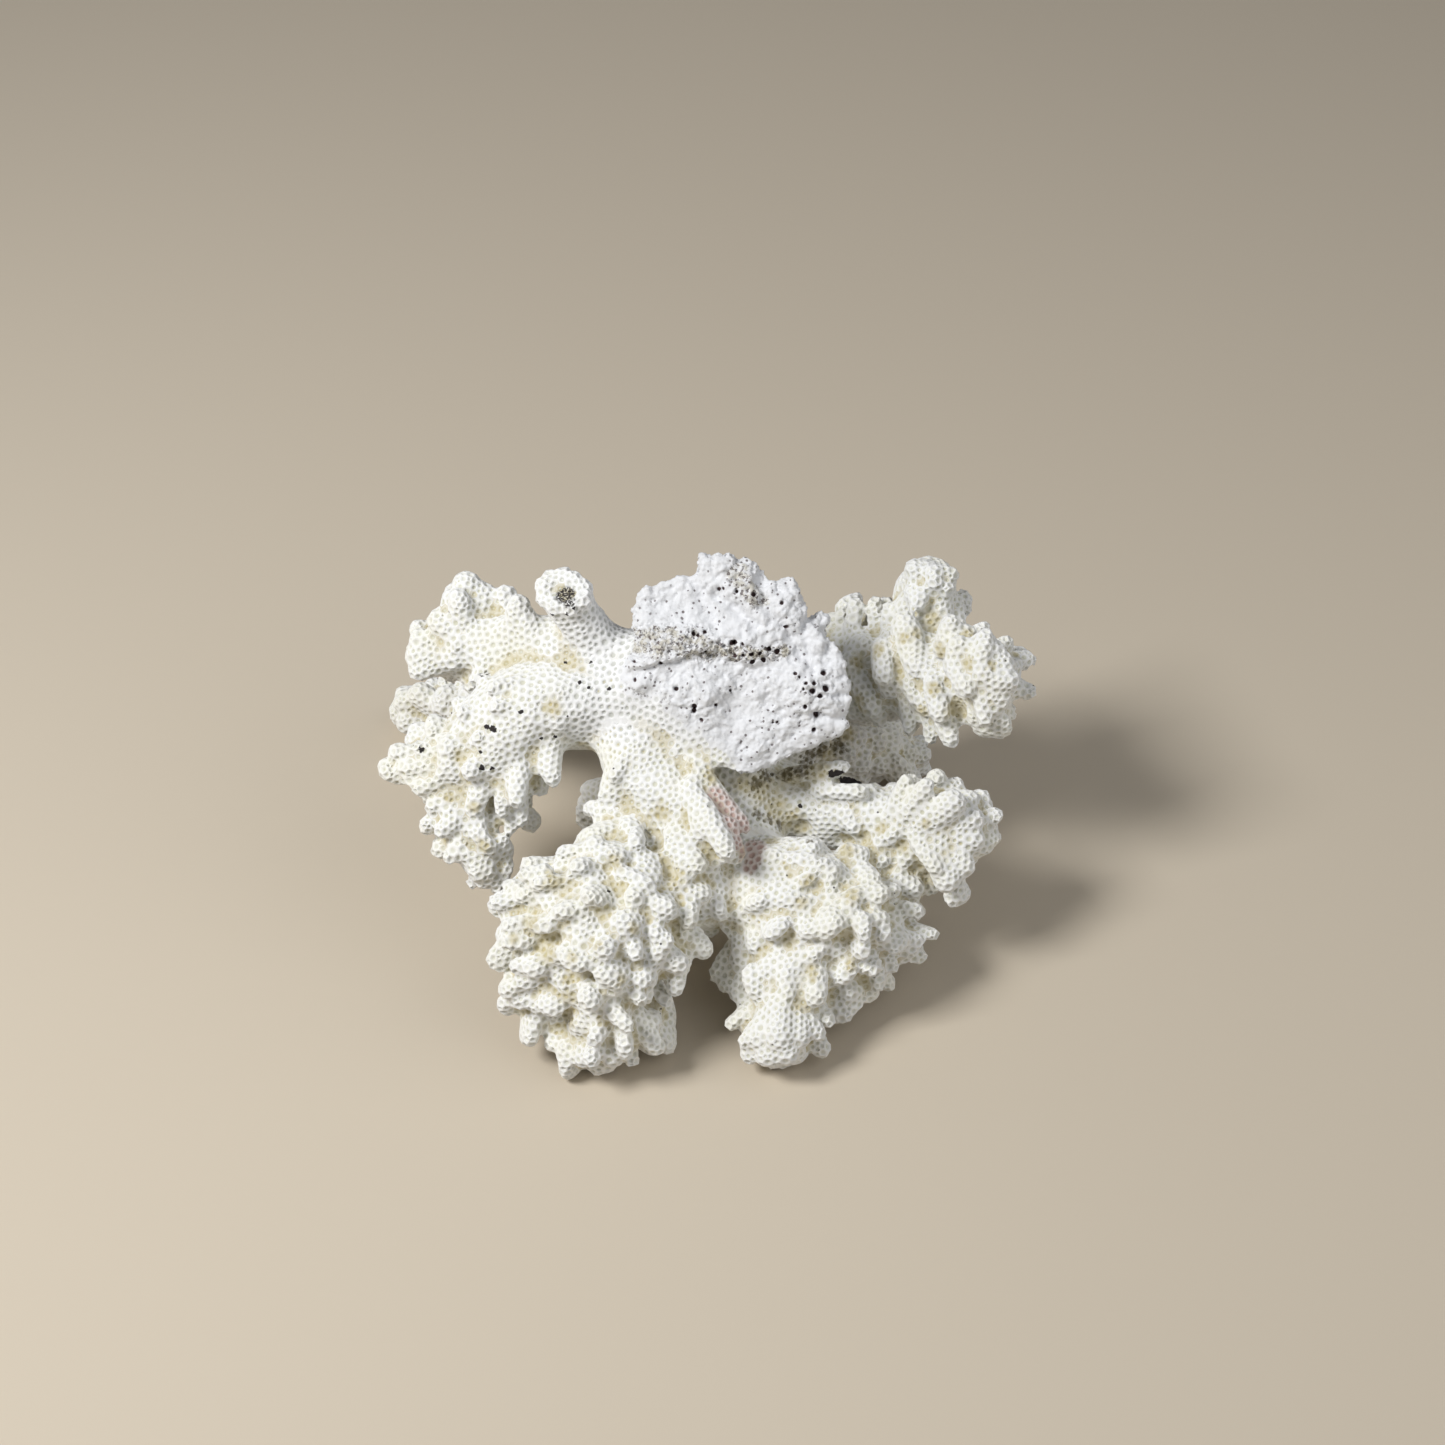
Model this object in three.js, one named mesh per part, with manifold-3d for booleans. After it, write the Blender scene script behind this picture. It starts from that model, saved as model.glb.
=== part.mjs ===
// A loose, bleached cauliflower coral, 9 cm across, lying on the tips of its branches
// with its broken holdfast turned up towards the viewer. Millimetres, +Z up.
//
// Every place is written as [u, v, w, radius] in a frame that faces the viewer:
// u to the right, v up the picture, w towards the viewer. VIEW_ELEVATION and VIEW_HEIGHT
// set that frame on the surface that the coral rests on, which is the plane z = 0.
import * as THREE from "three";
import { mergeVertices } from "three/addons/utils/BufferGeometryUtils.js";
import Module from "manifold-3d";

// Driving dimensions
const VIEW_ELEVATION = THREE.MathUtils.degToRad(42);
const VIEW_HEIGHT = 38.5; // height of the frame's origin above the surface
const VIEW_SHIFT = [4.3, -7]; // x and y of that origin, which centre the box of the coral
const GAP = 0.35; // clearance between one branch and the next at a fork
const KNOB_PITCH = 3.4; // spacing of a limb's vertices where knobs cover it; every third one is a knob
const PLAIN_PITCH = 5; // the same where it is bare
const KNOB_HEIGHT = 2.1; // of a middling knob over the hollows round it, on a limb of KNOB_RADIUS
const KNOB_RADIUS = 5; // a thinner limb has lower knobs
const KNOB_SPREAD = 0.8; // difference between the tallest and lowest knob, in middling knobs
const KNOB_LEAN = 0.45; // how far a knob leans towards the tip of its limb
const KNOB_START = 0.35; // where along a limb its knobs start, unless the limb says otherwise
const SWELL_THREEFOLD = 0.07; // how far a limb is from round, as parts of its radius
const SWELL_TWOFOLD = 0.05;
const SEED_STEP = 3; // from one piece to the next, so that no two have the same knobs
const CALCITE = { roughness: 0.9, metalness: 0 }; // chalky bare skeleton

const wasm = await Module();
wasm.setup();

const VIEW_RIGHT = new THREE.Vector3(1, 0, 0);
const VIEW_UP = new THREE.Vector3(0, Math.sin(VIEW_ELEVATION), Math.cos(VIEW_ELEVATION));
const VIEW_NEAR = new THREE.Vector3(0, -Math.cos(VIEW_ELEVATION), Math.sin(VIEW_ELEVATION));

function place([u, v, w]) {
  return new THREE.Vector3(VIEW_SHIFT[0], VIEW_SHIFT[1], VIEW_HEIGHT)
    .addScaledVector(VIEW_RIGHT, u)
    .addScaledVector(VIEW_UP, v)
    .addScaledVector(VIEW_NEAR, w);
}

// Solids

function solid(geometry) {
  geometry.deleteAttribute("normal");
  geometry.deleteAttribute("uv");
  const merged = mergeVertices(geometry, 1e-4);
  const corners = [];
  for (let i = 0; i < merged.index.count; i += 3) {
    const [a, b, c] = [0, 1, 2].map((k) => merged.index.getX(i + k));
    if (a !== b && b !== c && c !== a) corners.push(a, b, c);
  }
  return new wasm.Manifold(
    new wasm.Mesh({
      numProp: 3,
      vertProperties: Float32Array.from(merged.attributes.position.array),
      triVerts: Uint32Array.from(corners),
    }),
  );
}

function join(solids) {
  return solids.reduce((whole, piece) => whole.add(piece));
}

function largest(whole) {
  return whole.decompose().reduce((a, b) => (b.volume() > a.volume() ? b : a));
}

function geometryOf(whole) {
  const mesh = whole.getMesh();
  const geometry = new THREE.BufferGeometry();
  const places = Float32Array.from(mesh.vertProperties);
  geometry.setAttribute("position", new THREE.BufferAttribute(places, 3));
  geometry.setIndex(new THREE.BufferAttribute(Uint32Array.from(mesh.triVerts), 1));
  geometry.computeVertexNormals();
  return geometry;
}

// Limbs: a surface of revolution bent along a curve, with a radius at each of its stations.
// Its rows are staggered, so each vertex has six neighbours, and every third vertex stands
// out as one of the small blunt knobs that cover a limb towards its tip.

function limbFrame(stations) {
  const curve = new THREE.CatmullRomCurve3(stations.map(place));
  const along = curve.getPoint(1).sub(curve.getPoint(0)).normalize();
  const reference = Math.abs(along.dot(VIEW_NEAR)) > 0.75 ? VIEW_RIGHT : VIEW_NEAR;
  const at = (t) => {
    const reach = t * (stations.length - 1);
    const first = Math.min(Math.floor(reach), stations.length - 2);
    const radius = THREE.MathUtils.lerp(stations[first][3], stations[first + 1][3], reach - first);
    const tangent = curve.getTangent(t);
    const side = new THREE.Vector3().crossVectors(reference, tangent).normalize();
    const front = new THREE.Vector3().crossVectors(tangent, side);
    return { centre: curve.getPoint(t), tangent, side, front, radius };
  };
  return { at, length: curve.getLength() };
}

// A branch isn't round: its radius swells and shrinks a little round and along it.
function lumpiness(t, angle, seed) {
  const threefold = SWELL_THREEFOLD * Math.sin(3 * angle + 5 * t + seed);
  const twofold = SWELL_TWOFOLD * Math.sin(2 * angle - 9 * t + 2 * seed);
  return 1 + threefold + twofold;
}

// A number from 0 to 1 that looks random but is the same in every build
function scatter(a, b) {
  const wave = 43758.5453 * Math.sin(12.9898 * a + 78.233 * b);
  return wave - Math.floor(wave);
}

// Rows from the root to the tip: t along the curve, then past the last station over the round end
function limbRows(length, tipRadius, pitch) {
  const rowPitch = (pitch * Math.sqrt(3)) / 2;
  const along = Math.max(1, Math.round(length / rowPitch));
  const over = Math.max(2, Math.round((Math.PI * tipRadius) / 2 / rowPitch));
  const rows = [{ t: 0, past: -0.5, radial: 0 }];
  for (let j = 0; j <= along; j++) rows.push({ t: j / along, past: 0, radial: 1 });
  for (let j = 1; j <= over; j++) {
    const angle = (j * Math.PI) / 2 / over;
    rows.push({ t: 1, past: Math.sin(angle), radial: j === over ? 0 : Math.cos(angle) });
  }
  return rows;
}

function limb({ path, knobs = 0, from = KNOB_START }, seed, grow) {
  const { at, length } = limbFrame(path);
  const pitch = knobs ? KNOB_PITCH : PLAIN_PITCH;
  const meanRadius = path.reduce((sum, station) => sum + station[3], 0) / path.length;
  const sides = Math.max(6, 3 * Math.round((2 * Math.PI * meanRadius) / pitch / 3));
  const rows = limbRows(length, path[path.length - 1][3], pitch);
  const geometry = new THREE.LatheGeometry(
    rows.map(({ radial }, j) => new THREE.Vector2(radial, j)),
    sides,
  );
  const position = geometry.attributes.position;
  for (let k = 0; k < position.count; k++) {
    const [i, j] = [Math.floor(k / rows.length) % sides, k % rows.length];
    const { t, past, radial } = rows[j];
    const { centre, tangent, side, front, radius } = at(t);
    const angle = (2 * Math.PI * (i + j / 2)) / sides;
    const out = new THREE.Vector3()
      .addScaledVector(side, Math.cos(angle))
      .addScaledVector(front, Math.sin(angle));
    const knobbed = knobs && t > from;
    const knobHeight = knobs * KNOB_HEIGHT * Math.min(1, radius / KNOB_RADIUS);
    const hollow = knobbed ? knobHeight / 3 : 0;
    const reach = radius * lumpiness(t, angle, seed) + grow - hollow;
    centre.addScaledVector(out, radial * reach).addScaledVector(tangent, past * (radius + grow));
    const spot = radial ? i : 0;
    if (knobbed && (spot - j) % 3 === 0) {
      const height = knobHeight * (1 + KNOB_SPREAD * (scatter(spot + seed, j) - 0.5));
      const away = out
        .multiplyScalar(radial)
        .addScaledVector(tangent, past + KNOB_LEAN * radial)
        .normalize();
      centre.addScaledVector(away, height);
    }
    position.setXYZ(k, centre.x, centre.y, centre.z);
  }
  return solid(geometry);
}

// The holdfast: a crust broken off its rock, a flattened ball on a ragged outline

const CRUST_CENTRE = [1, 8];
const CRUST_DEPTH = -2; // w of its rim
const CRUST_FRONT = 2.6; // how far its broken face bulges in front of the rim
const CRUST_BACK = 4.4; // and how far it reaches behind
const CRUST_BULGE = 0.8; // under 1 for a face that is flatter in the middle and steeper at the rim
const CRUST_RADIUS = 14; // mean radius, by which the outline is widened for the gap
const CRUST_OUTLINE = [
  [18.1, 6], [17.2, 9.3], [14.8, 11.6], [11.8, 14.1], [11.6, 17.2], [10.2, 20.2],
  [7, 19.6], [5, 21.8], [1.8, 23.8], [-1.5, 23.2], [-4.6, 21.4], [-10.4, 19.2],
  [-12.6, 16.6], [-12, 12.5], [-13.4, 7], [-11.2, 1], [-7.6, -2], [-3.2, -4.8],
  [2.9, -7.1], [6, -5.7], [10.9, -4.3], [15.9, -2.2], [18.3, 0.4], [17.4, 3],
];
// Swells and hollows of the broken face, as [u, v, height, spread along u, spread along v]
const CRUST_RELIEF = [
  [-8, 11, 1.1, 5, 3],
  [-1, 8.6, -1.5, 7, 1.5],
  [8, 10, -1.6, 5, 1.4],
  [-4, 4, 1.3, 6, 3],
  [4, 1, -1.1, 5, 3.4],
  [13, 4, 0.9, 3.5, 3.5],
  [-3, 16, -1, 4.5, 3.5],
  [4, 19, 1.2, 2.2, 3.2],
  [9, 15, 0.9, 2, 3],
];

function crustRelief(u, v) {
  return CRUST_RELIEF.reduce((sum, [cu, cv, height, su, sv]) => {
    return sum + height * Math.exp(-(((u - cu) / su) ** 2) - ((v - cv) / sv) ** 2);
  }, 0);
}

function crust(grow) {
  const around = CRUST_OUTLINE.length;
  const outline = new THREE.CatmullRomCurve3(
    CRUST_OUTLINE.map(([u, v]) => new THREE.Vector3(u, v, 0)),
    true,
  );
  const geometry = new THREE.SphereGeometry(1, around, 9).rotateX(Math.PI / 2);
  const position = geometry.attributes.position;
  for (let i = 0; i < position.count; i++) {
    const [x, y, z] = [position.getX(i), position.getY(i), position.getZ(i)];
    const angle = Math.atan2(y, x);
    const edge = outline.getPoint(THREE.MathUtils.euclideanModulo(angle / (2 * Math.PI), 1));
    const radial = Math.hypot(x, y) ** CRUST_BULGE;
    const stretch = 1 + grow / CRUST_RADIUS;
    const u = CRUST_CENTRE[0] + (edge.x - CRUST_CENTRE[0]) * radial * stretch;
    const v = CRUST_CENTRE[1] + (edge.y - CRUST_CENTRE[1]) * radial * stretch;
    const reach = z * ((z > 0 ? CRUST_FRONT : CRUST_BACK) + grow);
    const relief = crustRelief(u, v) * THREE.MathUtils.clamp(2 * z, 0, 1);
    const at = place([u, v, CRUST_DEPTH + reach + relief]);
    position.setXYZ(i, at.x, at.y, at.z);
  }
  return solid(geometry);
}

// The pieces, from the holdfast outwards

const PIECES = [
  {
    name: "base",
    colour: "#f1f0f2",
    parts: [crust],
    limbs: [
      { path: [[2, 7.5, -7, 9], [-1.5, 4.5, -14, 11.4], [-3.5, 1, -24, 10]] },
      { path: [[-2, 6, -10, 8.6], [-11, 5, -9, 8.8], [-19, 4.2, -9, 7]] },
      { path: [[-1, 1, -14, 9], [0.5, -9.5, -14, 7.2], [1.5, -19, -11, 7]] },
    ],
  },
  {
    name: "broken_stub",
    colour: "#f0eee6",
    limbs: [{ path: [[-16.5, 9.5, -8, 4.2], [-19.8, 14, -5, 3], [-21.8, 17.8, -2.5, 3.8]] }],
    broken: { at: [-22, 18.3, -1.6], facing: [-0.2, 0.45, 0.87] },
  },
  {
    name: "upper_left_branch",
    colour: "#f2efe2",
    limbs: [
      {
        path: [
          [-17.5, 8.5, -10, 6.3], [-26.5, 10.5, -12, 5.4], [-36.5, 11.5, -16, 6],
          [-41, 10.5, -17, 4.6],
        ],
        knobs: 0.85,
      },
      { path: [[-35.5, 14, -16, 3.9], [-37.5, 18.8, -15, 2.9]] },
      { path: [[-28, 12.5, -16, 2.9], [-31, 17.5, -17, 1.9]] },
      { path: [[-34.5, 8.5, -15, 2.4], [-36.3, 5, -14, 1.4]] },
    ],
  },
  {
    name: "lower_left_branch",
    colour: "#f3f0e4",
    limbs: [
      {
        path: [
          [-19, 3, -9, 7], [-26, 2.2, -8, 7], [-33, -2.5, -8, 6.6],
          [-37.5, -9.5, -9, 5.2], [-35.5, -17, -9, 4], [-33.8, -21.6, -9, 2.8],
        ],
        knobs: 1,
        from: 0.5,
      },
      { path: [[-36, -5, -8, 4.9], [-42, -5.5, -8, 3.2], [-45, -6.3, -8, 1.7]], knobs: 1 },
      { path: [[-38.5, -3, -9, 3.4], [-43.6, -3, -10, 1.5]] },
      { path: [[-30, 2.5, -7, 3], [-33, 3.8, -6, 1.3]] },
      { path: [[-30, 1, -7, 3], [-33.2, 0.6, -5, 1.2]] },
      { path: [[-25, -2, -6, 2.6], [-24, -8.2, -4, 1.4]] },
      { path: [[-29.5, -5.5, -6, 2.8], [-29, -11.4, -4, 1.5]] },
      { path: [[-32, -9, -12, 2.9], [-28, -13.8, -14, 1.4]] },
      { path: [[-27, -6, -10, 2.4], [-25.8, -10.2, -9, 1.2]] },
    ],
  },
  {
    name: "centre_branch",
    colour: "#f4f1e6",
    limbs: [
      {
        path: [
          [-11.5, -0.5, -9, 7.4], [-10, -7.5, -6, 6.4], [-5.5, -14, -3, 4.9], [-3, -19, 0, 2.6],
        ],
        knobs: 0.9,
        from: 0.8,
      },
      { path: [[-3.5, -12.5, -1, 3.4], [2, -18.4, 3, 1.9]] },
      { path: [[-13, -6.5, -4, 2.3], [-16.5, -10.5, -2, 1.4]] },
      { path: [[-13.5, -10.5, -6, 2.1], [-18, -13, -5, 1.3]] },
    ],
  },
  {
    name: "front_left_branch",
    colour: "#f4f1e7",
    limbs: [
      {
        path: [
          [-1, -24, -9, 6], [-9, -24, -1, 6.6], [-17.5, -27.5, 2, 9], [-22, -29.5, 1, 7.8],
        ],
        knobs: 1,
        from: 0.3,
      },
      { path: [[-16, -21.5, 0, 6.6], [-15, -17.8, -2, 4.6]], knobs: 0.8 },
      { path: [[-22.5, -22.5, 1, 4.6], [-27, -21, 0, 2.6]], knobs: 0.8 },
      { path: [[-25.5, -27, 2, 5.4], [-30.4, -25.6, 2, 1.9]], knobs: 0.8 },
      { path: [[-22.5, -33, 1, 7], [-26.8, -38, 0, 3.9]], knobs: 1 },
      { path: [[-17, -34.5, 2, 7.6], [-17, -41.5, 0, 6], [-17.5, -45.4, -1, 4.4]], knobs: 1 },
      { path: [[-11.5, -31.5, 3, 5.4], [-6, -33, 2, 2.6]], knobs: 1 },
      { path: [[-12.5, -38.5, -3, 5.1], [-10, -44, -3, 3.5]], knobs: 1 },
    ],
  },
  {
    name: "front_right_branch",
    colour: "#f3f0e6",
    limbs: [
      {
        path: [
          [2, -22, -9, 6.6], [9, -24.6, -6, 8], [16.5, -27.5, -6, 8.8], [22.5, -30, -8, 5.6],
        ],
        knobs: 1,
        from: 0.35,
      },
      { path: [[19, -23.5, -8, 5.6], [25.5, -24, -10, 3.2]], knobs: 1 },
      { path: [[11, -32.5, -5, 7.2], [9, -40, -3, 6.2], [8.5, -43.6, -2, 5.2]], knobs: 1 },
      { path: [[6, -31.5, -6, 4.3], [0, -36, -7, 2.1]], knobs: 1 },
      { path: [[18.5, -32.5, -6, 5.6], [21, -35.3, -8, 3]], knobs: 1 },
    ],
  },
  {
    name: "right_branch",
    colour: "#f2efdf",
    limbs: [
      {
        path: [
          [2.5, -9, -17, 5.5], [11, -11.5, -15, 5], [21, -14, -12, 4.9], [31, -15.5, -9, 6.2],
          [34.5, -16, -9, 4.6],
        ],
        knobs: 0.9,
        from: 0.55,
      },
      { path: [[11, -8.5, -14, 2.6], [19.6, -9.6, -10, 1.7]] },
      { path: [[29, -12, -9, 3.2], [27, -8.2, -8, 1.3]] },
      { path: [[32, -11, -9, 2.9], [30.5, -8.5, -8, 1.4]] },
      { path: [[35, -13, -10, 3.4], [37.3, -11.4, -10, 2]] },
      { path: [[32, -19.5, -10, 3.7], [33.5, -23.8, -9, 1.7]] },
    ],
  },
  {
    name: "upper_right_branch",
    colour: "#f0eddd",
    limbs: [
      {
        path: [
          [6, 4, -24, 6.4], [18, 7.5, -26, 7], [28.5, 8, -19, 7.4], [37, 6.2, -9, 6],
        ],
        knobs: 1,
        from: 0.35,
      },
      { path: [[29, 12, -20, 5.4], [30, 20.2, -19, 4.4]], knobs: 0.7, from: 0.8 },
      { path: [[20.5, 12.5, -27, 4.8], [18.5, 16.5, -28, 2.4]], knobs: 1 },
      { path: [[24, 13.5, -25, 3], [23.2, 17.4, -25, 1.9]] },
      { path: [[32.5, 12, -18, 3.2], [35.5, 17, -18, 1.3]] },
      { path: [[26.5, 2.5, -16, 2.6], [27.5, -1.6, -14, 1.3]] },
      { path: [[31.5, 2, -12, 3.2], [32.7, -3, -9, 1.5]] },
      { path: [[35.5, 1.5, -8, 2.9], [37.5, -1, -8, 1.4]] },
      { path: [[21.5, 5, -22, 3.8], [21.5, 1.5, -20, 2.2]], knobs: 0.8 },
    ],
  },
  {
    name: "far_left_branch",
    colour: "#f1eee4",
    limbs: [
      {
        path: [
          [-14, 4, -16, 6], [-24, 4.5, -26, 5.2], [-35, 3.5, -40, 4.6], [-44.5, 1, -50, 4.7],
          [-49, 2, -53, 3.6],
        ],
        knobs: 1,
        from: 0.4,
      },
      { path: [[-42.5, -0.5, -48, 3.7], [-46, -4.3, -51, 2.8]], knobs: 0.8 },
    ],
  },
  {
    name: "back_right_branch",
    colour: "#ece5d3",
    limbs: [
      {
        path: [[2.5, -1, -24, 6], [15, -3, -34, 5.4], [25, -4.3, -44, 4.8], [29.5, -6.3, -47.5, 3.6]],
        knobs: 1,
        from: 0.4,
      },
    ],
  },
  {
    name: "back_centre_branch",
    colour: "#ece6d6",
    limbs: [
      {
        path: [[-6, -1.5, -24, 5.8], [-14, -9.5, -34, 4.6], [-19.5, -14, -39, 3.8]],
        knobs: 1,
        from: 0.45,
      },
    ],
  },
  {
    name: "back_low_branch",
    colour: "#ece6d6",
    limbs: [
      {
        path: [[-2.5, 1, -26, 6], [-1.5, -1.5, -38, 5], [-1, -4, -47.5, 4]],
        knobs: 1,
        from: 0.45,
      },
    ],
  },
  {
    name: "back_top_branch",
    colour: "#efeadb",
    limbs: [
      { path: [[-4, 7, -24, 6], [-6, 11, -36, 5.6], [-9, 13, -47, 4.4]], knobs: 1, from: 0.4 },
      { path: [[2, 10, -28, 4.6], [6, 14.5, -38, 3.4], [8, 16.5, -43, 2.4]], knobs: 1, from: 0.4 },
    ],
  },
];

function pieceSolid({ parts = [], limbs }, seed, grow) {
  const crusts = parts.map((part) => part(grow));
  return join([...crusts, ...limbs.map((one, i) => limb(one, seed + i, grow))]);
}

// A box whose lower face is the cut, wide enough to clear any piece
const CUT_SIZE = 200;

function cutBox(at, facing) {
  const geometry = new THREE.BoxGeometry(CUT_SIZE, CUT_SIZE, CUT_SIZE);
  const turn = new THREE.Quaternion().setFromUnitVectors(new THREE.Vector3(0, 0, 1), facing);
  geometry.translate(0, 0, CUT_SIZE / 2);
  geometry.applyQuaternion(turn);
  geometry.translate(at.x, at.y, at.z);
  return solid(geometry);
}

function brokenOff({ at, facing: [u, v, w] }) {
  const facing = new THREE.Vector3()
    .addScaledVector(VIEW_RIGHT, u)
    .addScaledVector(VIEW_UP, v)
    .addScaledVector(VIEW_NEAR, w)
    .normalize();
  return cutBox(place(at), facing);
}

function buildCoral() {
  const coral = new THREE.Group();
  const underSurface = cutBox(new THREE.Vector3(), new THREE.Vector3(0, 0, -1));
  let taken = null; // what the earlier pieces fill, with the gap round it
  PIECES.forEach((piece, index) => {
    const seed = SEED_STEP * index;
    let shape = pieceSolid(piece, seed, 0).subtract(underSurface);
    if (piece.broken) shape = shape.subtract(brokenOff(piece.broken));
    if (taken) shape = shape.subtract(taken);
    const grown = pieceSolid(piece, seed, GAP);
    taken = taken ? taken.add(grown) : grown;
    const material = new THREE.MeshStandardMaterial({ color: piece.colour, ...CALCITE });
    const mesh = new THREE.Mesh(geometryOf(largest(shape)), material);
    mesh.name = piece.name;
    coral.add(mesh);
  });
  return coral;
}

export default buildCoral();
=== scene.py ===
"""A loose, bleached cauliflower coral: short branches covered with small fingers and with pits a
little over a millimetre apart, round a broken, chalky holdfast crust that is turned up.

The file is laid out as an add-on and is run as a script. Shapes are worked out in millimetres, in
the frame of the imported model, and each finished piece is turned into metres.
"""

import math

import bmesh
import bpy
import numpy as np
from bpy.props import FloatProperty, FloatVectorProperty, IntProperty, PointerProperty
from mathutils import Matrix, Vector, noise
from mathutils.bvhtree import BVHTree
from mathutils.kdtree import KDTree


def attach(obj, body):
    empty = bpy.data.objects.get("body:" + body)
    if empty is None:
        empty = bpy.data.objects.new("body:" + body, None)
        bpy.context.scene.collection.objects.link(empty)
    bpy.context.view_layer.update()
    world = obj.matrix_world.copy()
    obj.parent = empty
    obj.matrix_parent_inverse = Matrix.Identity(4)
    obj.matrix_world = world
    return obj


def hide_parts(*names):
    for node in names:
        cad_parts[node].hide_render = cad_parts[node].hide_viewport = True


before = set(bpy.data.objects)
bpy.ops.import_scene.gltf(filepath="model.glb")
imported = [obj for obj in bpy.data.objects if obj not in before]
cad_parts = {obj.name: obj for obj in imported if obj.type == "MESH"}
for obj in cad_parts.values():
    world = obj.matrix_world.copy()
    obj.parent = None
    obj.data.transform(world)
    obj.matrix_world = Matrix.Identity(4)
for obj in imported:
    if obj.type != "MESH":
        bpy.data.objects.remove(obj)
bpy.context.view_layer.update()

bl_info = {
    "name": "Cauliflower coral",
    "version": (1, 0, 0),
    "blender": (4, 5, 0),
    "location": "3D View > Sidebar > Coral",
    "description": "Dresses a packed cauliflower coral with its fingers, pits and chalky holdfast",
    "category": "Object",
}

MM = 0.001
HOLDFAST = "base"
BODY = "root"

# The frame that faces the viewer, in millimetres: u to the right, v up the picture and w towards
# the viewer, with the camera CAMERA_DISTANCE along w and PICTURE_WIDTH of the plane w = 0 in view
CAMERA_DISTANCE = 420.0
PICTURE_WIDTH = 202.3
VIEW_ELEVATION = math.radians(42)
VIEW_ORIGIN = np.array([4.3, -7.0, 38.5])
VIEW_AXES = np.array([
    [1, 0, 0],
    [0, math.sin(VIEW_ELEVATION), math.cos(VIEW_ELEVATION)],
    [0, -math.cos(VIEW_ELEVATION), math.sin(VIEW_ELEVATION)],
])

# Where each branch stops being smooth: millimetres from the holdfast's trunk to the first and to
# the full-sized fingers, and how long the fingers get there
FINGERED = {
    "base": (60, 70, 0.0),
    "broken_stub": (60, 70, 0.0),
    "upper_left_branch": (10, 22, 0.5),
    "lower_left_branch": (6, 17, 0.9),
    "centre_branch": (6, 14, 0.8),
    "front_left_branch": (3, 10, 1.0),
    "front_right_branch": (3, 10, 1.0),
    "right_branch": (8, 20, 0.6),
    "upper_right_branch": (4, 14, 0.95),
    "far_left_branch": (6, 18, 0.55),
    "back_right_branch": (6, 16, 0.9),
    "back_centre_branch": (4, 14, 0.9),
    "back_low_branch": (6, 16, 0.9),
    "back_top_branch": (4, 14, 0.9),
}

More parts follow.
